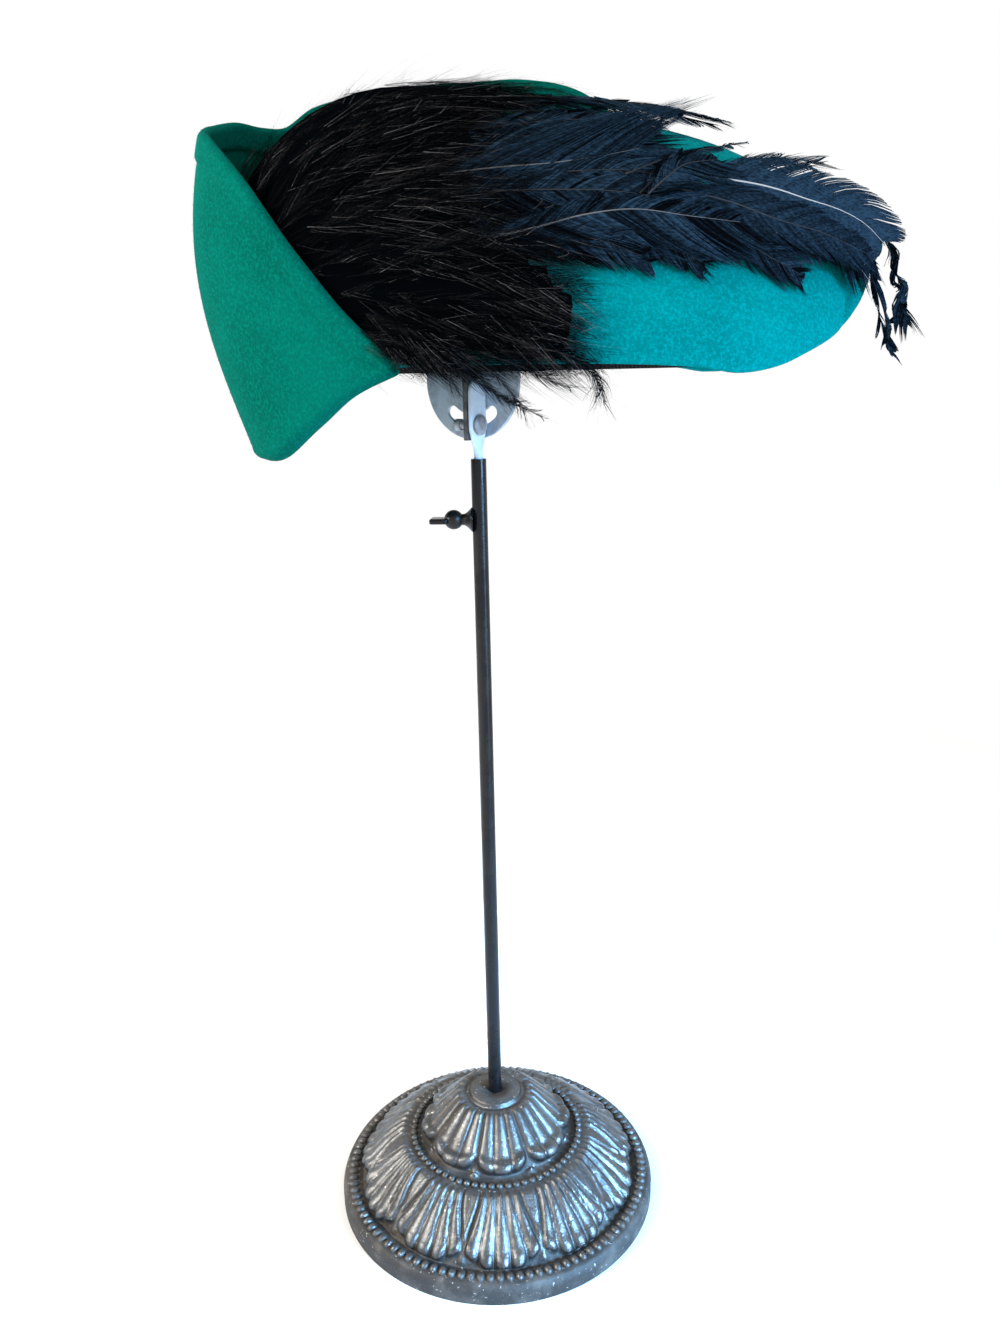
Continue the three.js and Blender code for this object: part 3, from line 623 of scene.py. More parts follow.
def new_group(name, kind, inputs, outputs):
    """A node group with named inputs and outputs, and its input and output nodes."""
    tree = bpy.data.node_groups.new(name, kind)
    for label, socket_kind, default in inputs:
        socket = tree.interface.new_socket(label, in_out="INPUT", socket_type=socket_kind)
        if default is not None:
            socket.default_value = default
    for label, socket_kind in outputs:
        tree.interface.new_socket(label, in_out="OUTPUT", socket_type=socket_kind)
    return tree, tree.nodes.new("NodeGroupInput"), tree.nodes.new("NodeGroupOutput")


def shared(name, build):
    """A shared node group, built once."""
    return bpy.data.node_groups.get(name) or build()


def noise(tree, vector, scale, detail=3.0, roughness=0.55):
    """The factor of a noise texture."""
    inputs = {"Vector": vector, "Scale": scale, "Detail": detail, "Roughness": roughness}
    return add_node(tree, "ShaderNodeTexNoise", None, inputs).outputs["Fac"]


def nap_group():
    """Fine fibres and soft clouds of felt: a mask of each and a height."""
    tree, entry, leave = new_group(
        "Felt nap",
        "ShaderNodeTree",
        (("Vector", "NodeSocketVector", None), ("Fibre scale", "NodeSocketFloat", 900.0)),
        (("Fibres", "NodeSocketFloat"), ("Clouds", "NodeSocketFloat"), ("Height", "NodeSocketFloat")),
    )
    vector, scale = entry.outputs["Vector"], entry.outputs["Fibre scale"]
    fine = noise(tree, vector, scale, 4.0, 0.7)
    coarse = noise(tree, vector, compute(tree, "MULTIPLY", scale, 0.32), 3.0)
    clouds = noise(tree, vector, compute(tree, "MULTIPLY", scale, 0.03), 3.0)
    tree.links.new(ramp(tree, fine, 0.42, 0.68), leave.inputs["Fibres"])
    tree.links.new(ramp(tree, clouds, 0.3, 0.7), leave.inputs["Clouds"])
    height = compute(tree, "ADD", fine, compute(tree, "MULTIPLY", coarse, 0.8))
    tree.links.new(height, leave.inputs["Height"])
    return tree


def wear_group():
    """Stains and scratches of old metal: a mask of each and a height."""
    tree, entry, leave = new_group(
        "Metal wear",
        "ShaderNodeTree",
        (("Vector", "NodeSocketVector", None), ("Scale", "NodeSocketFloat", 60.0)),
        (("Stains", "NodeSocketFloat"), ("Scratches", "NodeSocketFloat"), ("Height", "NodeSocketFloat")),
    )
    vector, scale = entry.outputs["Vector"], entry.outputs["Scale"]
    stains = noise(tree, vector, scale, 6.0, 0.65)
    drawn_out = {"Vector": vector, "Rotation": (0.4, 0.9, 0.2), "Scale": (1.0, 14.0, 1.0)}
    long_way = add_node(tree, "ShaderNodeMapping", None, drawn_out)
    scratches = noise(tree, long_way.outputs[0], compute(tree, "MULTIPLY", scale, 2.2), 3.0)
    pits = noise(tree, vector, compute(tree, "MULTIPLY", scale, 16.0), 3.0)
    tree.links.new(ramp(tree, stains, 0.38, 0.66), leave.inputs["Stains"])
    tree.links.new(ramp(tree, scratches, 0.6, 0.74), leave.inputs["Scratches"])
    height = compute(tree, "ADD", pits, compute(tree, "MULTIPLY", stains, 0.6))
    tree.links.new(height, leave.inputs["Height"])
    return tree




def new_material(name, **values):
    """A material, its node tree and its shader, whose constant values are set."""
    finish = bpy.data.materials.new(name)
    finish.use_nodes = True
    tree = finish.node_tree
    tree.nodes.clear()
    shader = tree.nodes.new("ShaderNodeBsdfPrincipled")
    output = tree.nodes.new("ShaderNodeOutputMaterial")
    tree.links.new(shader.outputs[0], output.inputs[0])
    for key, value in values.items():
        shader.inputs[key.replace("_", " ")].default_value = value
    return finish, tree, shader


def object_vector(tree):
    """Object coordinates."""
    return tree.nodes.new("ShaderNodeTexCoord").outputs["Object"]


def add_bump(tree, shader, height, distance, strength=1.0):
    """Feeds a height to the shader's normal."""
    inputs = {"Strength": strength, "Distance": distance, "Height": height}
    tree.links.new(add_node(tree, "ShaderNodeBump", None, inputs).outputs[0], shader.inputs["Normal"])


def attribute(tree, name):
    """A point attribute's value."""
    return add_node(tree, "ShaderNodeAttribute", {"attribute_name": name}).outputs["Fac"]


def worn(tree, scale):
    """The stains, scratches and height of old metal, at a scale."""
    inputs = {"Vector": object_vector(tree), "Scale": scale}
    return add_node(tree, "ShaderNodeGroup", {"node_tree": shared("Metal wear", wear_group)}, inputs).outputs


def felt_material(name, tint):
    """Wool felt: fine pale fibres over soft clouds, with a fuzzy sheen."""
    finish, tree, shader = new_material(name, Roughness=0.95, Sheen_Weight=0.02, Sheen_Roughness=0.4)
    shader.inputs["Sheen Tint"].default_value = rgba(tint, 2.2)
    shader.inputs["Specular IOR Level"].default_value = 0.015
    inputs = {"Vector": object_vector(tree)}
    nap = add_node(tree, "ShaderNodeGroup", {"node_tree": shared("Felt nap", nap_group)}, inputs)
    soft = mix_colour(tree, nap.outputs["Clouds"], rgba(tint, 0.76), rgba(tint, 1.06))
    light = mix_colour(tree, compute(tree, "MULTIPLY", nap.outputs["Fibres"], 0.6), soft, rgba(tint, 1.75))
    tree.links.new(light, shader.inputs["Base Color"])
    add_bump(tree, shader, nap.outputs["Height"], 0.35 * MM, 0.7)
    return finish


def ribbon_material(colours):
    """Grosgrain: fine upright ribs that follow the ribbon's own map."""
    finish, tree, shader = new_material("Ribbon", Roughness=0.8, Specular_IOR_Level=0.12)
    along = add_node(tree, "ShaderNodeUVMap", {"uv_map": "Along"}).outputs[0]
    ribs = add_node(
        tree,
        "ShaderNodeTexWave",
        {"wave_type": "BANDS", "bands_direction": "X"},
        {"Vector": along, "Scale": 120.0, "Distortion": 0.4, "Detail": 1.0},
    )
    shade = mix_colour(tree, ribs.outputs["Fac"], rgba(colours.ribbon, 0.5), rgba(colours.ribbon, 2.2))
    tree.links.new(shade, shader.inputs["Base Color"])
    add_bump(tree, shader, ribs.outputs["Fac"], 0.25 * MM)
    return finish


def feather_material(name, dark, pale, quill, roughness):
    """Barbs from dark to pale by each barb's tone, and shafts of quill. The material reflects nothing: the
    pale barbs are partly the barbs' own colour and partly painted highlight and sheen, and the pale shafts
    are painted highlights.
    """
    finish, tree, shader = new_material(name, Specular_IOR_Level=0.0)
    tone = attribute(tree, "tone")
    drawn_out = {"Vector": object_vector(tree), "Scale": (0.25, 1.0, 1.0)}
    streaks = add_node(tree, "ShaderNodeMapping", None, drawn_out)
    fine = noise(tree, streaks.outputs[0], 1500.0, 2.0)
    shifted = compute(tree, "MULTIPLY", tone, ramp(tree, fine, 0.3, 0.7, 0.6, 1.4))
    # Mixing towards pale paints the barbs' highlights and sheen, as the shader has no specular reflection.
    barb = mix_colour(tree, ramp(tree, shifted, 0.0, 1.0), rgba(dark), rgba(pale))
    whole = mix_colour(tree, attribute(tree, "quill"), barb, rgba(quill))
    tree.links.new(whole, shader.inputs["Base Color"])
    tree.links.new(ramp(tree, fine, 0.3, 0.7, roughness - 0.08, roughness + 0.1), shader.inputs["Roughness"])
    return finish


def casting_material(colours):
    """Old casting: darker in the hollows, partly as dusty patina and partly as painted shade, and worn
    bright on the ridges.
    """
    finish, tree, shader = new_material("Casting")
    wear = worn(tree, 70.0)
    stains = wear["Stains"]
    # The hollows' colour is dusty patina together with painted shade.
    hollow = mix_colour(tree, stains, rgba(colours.dust_and_shade, 0.55), rgba(colours.dust_and_shade, 2.0))
    ridge = mix_colour(tree, stains, rgba(colours.casting), rgba(colours.casting, 0.55))
    height = compute(tree, "ADD", attribute(tree, "relief"), compute(tree, "MULTIPLY", stains, -0.25))
    mask = ramp(tree, height, 0.1, 0.75)
    grey = mix_colour(tree, mask, hollow, ridge)
    speck = ramp(tree, noise(tree, object_vector(tree), 620.0, 2.0), 0.66, 0.72)
    whole = mix_colour(tree, compute(tree, "MULTIPLY", speck, 0.6), grey, (0.5, 0.48, 0.44, 1.0))
    tree.links.new(whole, shader.inputs["Base Color"])
    tree.links.new(ramp(tree, mask, 0.0, 1.0, 0.62, 0.33), shader.inputs["Roughness"])
    tree.links.new(ramp(tree, mask, 0.0, 1.0, 0.35, 0.9), shader.inputs["Metallic"])
    add_bump(tree, shader, wear["Height"], 0.3 * MM, 0.8)
    return finish


def metal_material(name, tint, stain, roughness, metallic, scale=70.0, specular=0.5):
    """Plain metal with stains and faint scratches."""
    finish, tree, shader = new_material(name, Metallic=metallic, Specular_IOR_Level=specular)
    wear = worn(tree, scale)
    base = mix_colour(tree, wear["Stains"], rgba(tint), rgba(stain))
    marked = mix_colour(tree, compute(tree, "MULTIPLY", wear["Scratches"], 0.35), base, rgba(tint, 1.8))
    tree.links.new(marked, shader.inputs["Base Color"])
    rough = ramp(tree, wear["Stains"], 0.0, 1.0, roughness, roughness + 0.2)
    tree.links.new(rough, shader.inputs["Roughness"])
    add_bump(tree, shader, wear["Height"], 0.06 * MM, 0.6)
    return finish


# Node trees that repeat a shape


def new_tree(name, *inputs):
    """A Geometry Nodes tree with its geometry, a material and further named inputs."""
    geometry = ("Geometry", "NodeSocketGeometry")
    material = ("Material", "NodeSocketMaterial", None)
    return new_group(name, "GeometryNodeTree", ((*geometry, None), *inputs, material), (geometry,))


def end_tree(tree, entry, leave, instances):
    """Realizes instances, sets their material and ends the tree."""
    real = add_node(tree, "GeometryNodeRealizeInstances", None, {"Geometry": instances})
    inputs = {"Geometry": real.outputs[0], "Material": entry.outputs["Material"]}
    tree.links.new(add_node(tree, "GeometryNodeSetMaterial", None, inputs).outputs[0], leave.inputs[0])


def run_tree(holder, tree, values, name):
    """Runs a tree on an object and returns its result as a plain mesh object."""
    modifier = holder.modifiers.new("Build", "NODES")
    modifier.node_group = tree
    names = {s.name: s.identifier for s in tree.interface.items_tree if getattr(s, "in_out", "") == "INPUT"}
    for key, value in values.items():
        modifier[names[key]] = value
    bpy.context.view_layer.update()
    ready = holder.evaluated_get(bpy.context.evaluated_depsgraph_get())
    mesh = bpy.data.meshes.new_from_object(ready)
    mesh.name = name
    holder.modifiers.clear()
    return link_piece(name, mesh)


def bead_tree():
    """A ring of beads: each point of the geometry is a bead's place and carries its turn."""
    tree, entry, leave = new_tree(
        "Bead ring",
        ("Bead radius", "NodeSocketFloat", 0.002),
        ("Stretch", "NodeSocketVector", (1.0, 1.0, 1.0)),
    )
    shape = {"Segments": 14, "Rings": 8, "Radius": entry.outputs["Bead radius"]}
    ball = add_node(tree, "GeometryNodeMeshUVSphere", None, shape)
    soft = add_node(tree, "GeometryNodeSetShadeSmooth", None, {"Geometry": ball.outputs[0]})
    inputs = {
        "Points": entry.outputs[0],
        "Instance": soft.outputs[0],
        "Rotation": point_value(tree, "turn", "FLOAT_VECTOR"),
        "Scale": entry.outputs["Stretch"],
    }
    end_tree(tree, entry, leave, add_node(tree, "GeometryNodeInstanceOnPoints", None, inputs).outputs[0])
    return tree


def point_value(tree, name, kind):
    """What the points carry under a name."""
    return add_node(tree, "GeometryNodeInputNamedAttribute", {"data_type": kind}, {"Name": name}).outputs[0]


def scatter_tree():
    """Feathers of a collection on points that carry their turn, size and kind."""
    tree, entry, leave = new_tree(
        "Scattered feathers",
        ("Feathers", "NodeSocketCollection", None),
        ("Size", "NodeSocketFloat", 1.0),
    )
    inputs = {"Collection": entry.outputs["Feathers"], "Separate Children": True, "Reset Children": True}
    kinds = add_node(tree, "GeometryNodeCollectionInfo", None, inputs)
    inputs = {
        "Points": entry.outputs[0],
        "Instance": kinds.outputs[0],
        "Pick Instance": True,
        "Instance Index": point_value(tree, "kind", "INT"),
        "Rotation": point_value(tree, "turn", "FLOAT_VECTOR"),
        "Scale": compute(tree, "MULTIPLY", point_value(tree, "size", "FLOAT"), entry.outputs["Size"]),
    }
    end_tree(tree, entry, leave, add_node(tree, "GeometryNodeInstanceOnPoints", None, inputs).outputs[0])
    return tree


def fuzz_tree():
    """Short fibres that stand on a surface."""
    tree, entry, leave = new_tree(
        "Felt fuzz",
        ("Density", "NodeSocketFloat", 100000.0),
        ("Length", "NodeSocketFloat", 0.0008),
        ("Radius", "NodeSocketFloat", 0.00003),
        ("Seed", "NodeSocketInt", 3),
    )
    seed = entry.outputs["Seed"]
    inputs = {"Mesh": entry.outputs[0], "Density": entry.outputs["Density"], "Seed": seed}
    spread = add_node(tree, "GeometryNodeDistributePointsOnFaces", None, inputs)
    inputs = {
        "Vertices": 3,
        "Radius Top": 0.0,
        "Radius Bottom": entry.outputs["Radius"],
        "Depth": entry.outputs["Length"],
    }
    fibre = add_node(tree, "GeometryNodeMeshCone", {"fill_type": "NONE"}, inputs)
    inputs = {0: (-0.9, -0.9, -3.0), 1: (0.9, 0.9, 3.0), "Seed": seed}
    lean = add_node(tree, "FunctionNodeRandomValue", {"data_type": "FLOAT_VECTOR"}, inputs)
    inputs = {"Rotation": spread.outputs["Rotation"], "Rotate By": lean.outputs[0]}
    turn = add_node(tree, "FunctionNodeRotateRotation", {"rotation_space": "LOCAL"}, inputs)
    inputs = {"Points": spread.outputs[0], "Instance": fibre.outputs[0], "Rotation": turn.outputs[0]}
    end_tree(tree, entry, leave, add_node(tree, "GeometryNodeInstanceOnPoints", None, inputs).outputs[0])
    return tree


def point_cloud(name, places, **attributes):
    """A mesh of loose points with attributes, for a tree to read."""
    mesh = bpy.data.meshes.new(name)
    mesh.from_pydata(np.asarray(places, float).tolist(), [], [])
    write_attributes(mesh, attributes)
    return link_piece(name, mesh)


def turns_to(forward, up):
    """Euler turns that bring X to forward and Z to up."""
    forward = unit(forward)
    aside = unit(np.cross(up, forward))
    upward = np.cross(forward, aside)
    turns = []
    for f, a, u in zip(forward, aside, upward):
        turns.append(Matrix((f, a, u)).transposed().to_euler("XYZ"))
    return np.array(turns)


# Feathers


def quill_tube(shaft, side, up, run, form):
    """Points and faces of a feather's shaft, which grows thinner towards its tip."""
    sides = form["quill_sides"]
    turn = full_turn(sides)
    taper = 0.85
    radius = form["quill_radius"] * (1 - taper * run / run[-1])
    ring = side[:, None, :] * np.cos(turn)[None, :, None] + up[:, None, :] * np.sin(turn)[None, :, None]
    points = shaft[:, None, :] + ring * radius[:, None, None]
    i = np.arange(len(shaft) - 1)[:, None] * sides
    j = np.arange(sides)[None, :]
    n = (j + 1) % sides
    return points.reshape(-1, 3), np.stack([i + j, i + n, i + sides + n, i + sides + j], -1).reshape(-1, 4)


def feather_arrays(shaft, up, form, rng):
    """Points, faces, tones and quill marks of one feather.

    shaft holds places along the shaft, from root to tip, and up the directions away from the felt there.
    """
    run = np.concatenate([[0], np.cumsum(np.linalg.norm(np.diff(shaft, axis=0), axis=1))])
    total = run[-1]
    tangent = unit(np.gradient(shaft, run, axis=0))
    side = unit(np.cross(tangent, up))
    up = unit(np.cross(side, tangent))

    def at(distance, values):
        return np.stack([np.interp(distance, run, values[:, k]) for k in range(3)], -1)

    points, faces, tones, quills, first = [], [], [], [], 0
    steps, count = form["steps"], form["barbs"]
    w = np.linspace(0, 1, steps + 1)
    middle = (w[1:] + w[:-1]) / 2
    angle_root, angle_tip = np.radians(form["angle_root"]), np.radians(form["angle_tip"])
    last_barb, vane_end, least_aside = 0.985, 1.03, 0.05
    for sign, reach in ((1, form["right"]), (-1, form["left"])):
        share = np.linspace(form["bare"], last_barb, count)
        start = share * total
        spacing = (start[1] - start[0]) * form["fullness"]
        cluster = np.cumsum(rng.random(count) < 1 / form["cluster"])
        clusters = cluster[-1] + 1
        members = [start[cluster == c] for c in range(clusters)]
        centre = np.array([m.mean() if len(m) else 0 for m in members])
        past = np.maximum(share - form["full_to"], 0) / (vane_end - form["full_to"])
        profile = np.minimum(share / form["swell"], 1) ** 0.6 * np.sqrt(np.clip(1 - past**2, 0, 1))
        ragged = 1 - form["rag"] * rng.random(clusters)[cluster] - 0.5 * form["rag"] * rng.random(count)
        wide = reach * profile * ragged
        wander = np.radians(form["wander"]) * rng.normal(size=(count, 1))
        theta = angle_root + (angle_tip - angle_root) * middle[None, :] + wander
        ahead = np.concatenate([np.zeros((count, 1)), np.cumsum(np.cos(theta), 1)], 1) / steps
        aside = np.concatenate([np.zeros((count, 1)), np.cumsum(np.sin(theta), 1)], 1) / steps
        size = np.minimum((wide / np.maximum(aside[:, -1], least_aside))[:, None], form["longest"])
        pull = form["pull"] * (centre[cluster] - start)[:, None] * w[None, :] ** 2
        split = form["split"] * rng.normal(size=clusters)[cluster][:, None] * w[None, :] ** 2
        along = start[:, None] + size * ahead + pull + split
        across = size * aside
        rise = form["lift"] * rng.normal(size=clusters)[cluster][:, None] * w[None, :] ** 1.5
        rise = rise + form["fluff"] * rng.normal(size=(count, 1)) * w[None, :] ** 1.3
        width = spacing * (1 - form["fade"] * w[None, :] ** form["fade_power"])
        edges = []
        for half in (-0.5, 0.5):
            place = along + half * width
            inside = np.clip(place, 0, total)
            spot = at(inside, shaft) + (place - inside)[..., None] * tangent[-1]
            spot = spot + sign * across[..., None] * at(inside, side)
            height = rise - form["camber"] * across**2
            edges.append(spot + height[..., None] * at(inside, up))
        points.append(np.stack(edges, 2).reshape(-1, 3))
        barb = np.arange(count)[:, None] * (steps + 1) * 2
        a = first + barb + np.arange(steps)[None, :] * 2
        quads = np.stack([a, a + 1, a + 3, a + 2], -1).reshape(-1, 4)
        faces.append(quads if sign > 0 else quads[:, ::-1])
        tone = form["tone"] + form["tone_spread"] * rng.random(count) ** form["tone_power"]
        tone = tone + form["tone_patch"] * rng.normal(size=clusters)[cluster]
        bars = form["bars"] * np.sin(form["bar_count"] * 2 * math.pi * share)
        lighter = form["tip_tone"] * w[None, :] ** 2
        tones.append(np.repeat(((tone + bars)[:, None] + lighter), 2, axis=1).reshape(-1))
        quills.append(np.zeros(count * (steps + 1) * 2))
        first += count * (steps + 1) * 2
    tube_points, tube_faces = quill_tube(shaft, side, up, run, form)
    points.append(tube_points)
    faces.append(first + tube_faces)
    tones.append(np.full(len(tube_points), form["tone"]))
    quills.append(np.full(len(tube_points), form["pale"]))
    return np.vstack(points), np.vstack(faces), np.concatenate(tones), np.concatenate(quills)


# What a feather's form states. First its barbs: their number on a side, the steps of each, the share of
# the shaft without barbs, the shares at which they are full and start to shorten, their width over their
# spacing, the most metres that one has, and how they grow narrower. Then how many cling together, how uneven
# their ends are, their angles to the shaft at root and end, how far those wander, how far barbs are pulled
# together, how far clusters part and rise, how far single barbs rise, and how the vane curves down at its
# sides. Then their tone: the least, what chance adds, how rare that is, how clusters differ, what is added
# at the ends, and bars across. Pale tones are partly the barbs' own colour and partly painted highlight and
# sheen. Last the shaft: its sides, its radius and how pale it is, which paints a highlight along it. Whoever
# uses a form adds what it leaves out.
SOFT_FORM = dict(
    barbs=24, steps=3, bare=0.02, swell=0.1, full_to=0.5, longest=0.032, fade=0.75,
    fade_power=1.0, cluster=4.0, rag=0.45, angle_root=22.0, angle_tip=5.0, wander=2.5, pull=0.6,
    split=0.0016, lift=0.0009, fluff=0.0006, camber=6.0, tone=0.02, tone_spread=0.85, tone_power=13.0,
    tone_patch=0.11, tip_tone=0.05, bars=0.0, bar_count=1.0, quill_sides=3, quill_radius=0.0001, pale=0.03,
)
LONG_FORM = dict(
    barbs=96, steps=5, bare=0.03, swell=0.14, full_to=0.55, fullness=1.02, longest=0.05, fade=0.75,
    fade_power=5.0, cluster=9.0, rag=0.22, angle_root=44.0, angle_tip=17.0, wander=0.6, pull=0.55,
    split=0.0012, lift=0.0008, fluff=0.00012, camber=3.0, tone=0.18, tone_spread=0.4, tone_power=1.5,
    tone_patch=0.13, tip_tone=0.1, bars=0.07, bar_count=9.0, quill_sides=5, pale=0.0,
)

# What differs in a long feather whose barbs lie close.
SMOOTH_FORM = dict(
    barbs=170, cluster=22.0, pull=0.25, split=0.0006, lift=0.0003, fade=0.5, fade_power=8.0, fullness=1.9,
    tone_spread=0.2, tone_patch=0.04, tip_tone=-0.12, full_to=0.5, camber=8.0,
)


def long_row(route, lift, above, below, **changes):
    """A row of the table of long feathers: what it states, over what most rows share."""
    common = {"tone": 0.18, "pale": 0.05, "angles": (40, 16), "longest": 48, "rag": 0.24, "face": 0.2}
    given = {"route": route, "lift": lift, "above": above, "below": below}
    return {**common, "copies": 3, "smooth": False, **given, **changes}


# Long feathers that the photo shows. A route is a feather's shaft in photo pixels, from root to tip. The
# next values are in millimetres: how high it lies over the felt at root and tip, and how far its barbs reach
# above and below the shaft. longest is in millimetres too. tone is how pale the barbs are, pale how pale the
# shaft is, angles are the barbs' angles at root and end, and face is how far the vane turns to the camera.
# tone paints the vanes' sheen: it is higher on vanes that catch the light and lower, as painted shade, on
# feathers that lie under others. pale paints a highlight along the shaft.
LONG_FEATHERS = (
    long_row(((440, 118), (520, 103), (590, 104), (655, 111), (718, 125)), (4, 4), 2, 10),
    long_row(((440, 134), (500, 126), (560, 120), (610, 120), (648, 126)), (4, 4), 7, 11),
    long_row(
        ((440, 174), (500, 167), (550, 163), (600, 156), (640, 148)), (6, 6), 15.5, 9,
        pale=0.2, tone=0.24, angles=(24, 5), longest=52, face=0.65,
    ),
    long_row(((430, 158), (500, 150), (560, 146), (620, 148), (664, 160)), (4, 4), 13, 10),
    long_row(((470, 180), (560, 172), (620, 170), (665, 176), (700, 186)), (5, 6), 8, 10, tone=0.12),
    long_row(((440, 194), (520, 190), (599, 190), (654, 196), (704, 206)), (6, 7), 8, 10),
    long_row(((648, 194), (667, 177), (686, 164), (718, 159)), (10, 11), 5, 11),
    long_row(((625, 174), (673, 156), (716, 147), (748, 142)), (8, 9), 1, 2.5, copies=1),
    long_row(
        ((690, 178), (730, 166), (775, 159), (824, 163)), (7, 10), 4, 5,
        tone=0.3, angles=(18, 6), copies=2, rag=0.5,
    ),
    # This feather's high tone and pale shaft paint the highlight on its upper vane.
    long_row(
        ((696, 175), (746, 182), (777, 189), (807, 199), (838, 209), (864, 223), (884, 243)), (8, 12),
        13.5, 13, pale=0.75, tone=0.62, rag=0.04, face=0.4, longest=22, angles=(46, 24), copies=1,
        smooth=True,
    ),
    long_row(
        ((676, 188), (731, 202), (777, 219), (823, 233), (868, 254)), (6, 9), 10, 9,
        tone=0.32, rag=0.06, longest=28, copies=1, smooth=True,
    ),
    long_row(
        ((500, 236), (541, 226), (587, 214), (636, 209), (691, 216), (740, 222)), (6, 7), 7, 17,
        pale=0.2, tone=0.12,
    ),
    long_row(((470, 238), (540, 234), (600, 240), (642, 256)), (5, 5), 9, 8, tone=0.1),
    long_row(((540, 222), (610, 226), (660, 240), (702, 262)), (4, 4), 9, 8, tone=0.12),
    long_row(((640, 222), (690, 226), (735, 238), (772, 258), (800, 274)), (4, 4), 8, 7),
    long_row(
        ((700, 214), (746, 224), (786, 235), (823, 241), (850, 255), (868, 279)), (5, 6), 7, 9,
        pale=0.6, tone=0.16,
    ),
    long_row(((600, 196), (660, 204), (720, 214), (776, 232), (820, 254)), (4, 5), 9, 9),
    long_row(((430, 206), (520, 205), (600, 208), (672, 220)), (4, 4), 10, 10, tone=0.08),
    long_row(((450, 224), (520, 216), (580, 216), (640, 226)), (3, 3), 10, 10, tone=0.06),
    long_row(((740, 180), (790, 187), (835, 200), (866, 218), (884, 234)), (6, 8), 6, 6),
)


# Long feathers on the far side: the shaft's hat angles and shares of the crown's height, from root to tip.
FAR_FEATHERS = (
    ((100, 0.97), (70, 0.88), (56, 0.74), (46, 0.58)),
    ((80, 0.985), (50, 0.91), (38, 0.79), (30, 0.66)),
    ((112, 0.93), (84, 0.8), (69, 0.65), (60, 0.48)),
    ((60, 0.985), (34, 0.94), (22, 0.86), (14, 0.76)),
    ((122, 0.9), (97, 0.75), (82, 0.58), (74, 0.42)),
    ((90, 0.98), (60, 0.9), (46, 0.77), (37, 0.62)),
)


# Operators


class BuildPiece:
    """What the build operators share."""

    bl_options = {"REGISTER", "UNDO"}


class HAT_OT_crown(BuildPiece, bpy.types.Operator):
    """Builds the felt crown, with its hem, its dent and its fuzz"""

    bl_idname = "hat.crown"
    bl_label = "Felt Crown"

    def execute(self, context):
        sizes = context.scene.hat_sizes
        half = sizes.felt_wall / 2
        spans = ((0, 327, 1.5), (327, 345, 0.5), (345, 360, 1.5))
        angles = np.concatenate([np.arange(*span) for span in spans])
        shares = 0.03 + 0.97 * np.linspace(0, 1, 56) ** 1.1
        outer = crown_grid(sizes, angles, shares, 0.0)
        inner = crown_grid(sizes, angles, shares, -sizes.felt_wall)
        hem = hem_height(sizes, angles)
        middle = crown_line(sizes, angles, np.zeros_like(angles))[:, 0] - half
        rims = []
        for sign in (1, -1):
            rim = [
                place_at(sizes, angles, middle + sign * half * math.cos(t), hem + half * (1 - math.sin(t)))
                for t in np.radians((90, 60, 30, 8))
            ]
            rims.append(np.stack(rim, 1))
        points, faces = slab(np.concatenate([rims[0], outer], 1), np.concatenate([rims[1], inner], 1), True)
        felt = felt_material("Dome felt", context.scene.hat_colours.crown_felt)
        finish_piece(new_mesh("felt_crown_shell", points, faces), felt, "felt", "felt_crown")
        add_fuzz("crown_fuzz", outer, felt, 21)
        return {"FINISHED"}


def add_fuzz(name, grid, felt, seed):
    """Short fibres on the outside of a sheet of felt."""
    holder = new_mesh(name + "_ground", grid.reshape(-1, 3), grid_faces(*grid.shape[:2]), clean=False)
    tree = shared("Felt fuzz", fuzz_tree)
    values = {"Density": 130000.0, "Length": 0.8 * MM, "Radius": 0.04 * MM, "Seed": seed, "Material": felt}
    fuzz = run_tree(holder, tree, values, name)
    bpy.data.objects.remove(holder)
    finish_piece(fuzz, None, "felt")


def brim_angles(steps):
    """Even steps of the brim's run."""
    return np.linspace(BRIM_TABLE["angle"][0], BRIM_TABLE["angle"][-1], steps)


class HAT_OT_brim(BuildPiece, bpy.types.Operator):
    """Builds the turned-up brim with its doubled lip"""

    bl_idname = "hat.brim"
    bl_label = "Turned Brim"

    def execute(self, context):
        sizes = context.scene.hat_sizes
        sides = [[], []]
        for angle in brim_angles(201):
            line, half = brim_section(sizes, angle)
            along = np.gradient(line, axis=0)
            normal = unit(np.stack([along[:, 1], -along[:, 0]], 1))
            for k, sign in enumerate((1, -1)):
                spot = line + sign * normal * half[:, None]
                sides[k].append(place_at(sizes, np.full(len(spot), angle), spot[:, 0], spot[:, 1]))
        outer, inner = np.array(sides[0]), np.array(sides[1])
        brim = new_mesh("turned_brim_shell", *slab(outer, inner))
        # The brim's darker, greener felt holds painted shade as well as its own colour.
        felt = felt_material("Brim felt", context.scene.hat_colours.brim_felt)
        finish_piece(brim, felt, "felt", "turned_brim")
        past_fold = 22
        add_fuzz("brim_fuzz", outer[:, past_fold:], felt, 22)
        return {"FINISHED"}


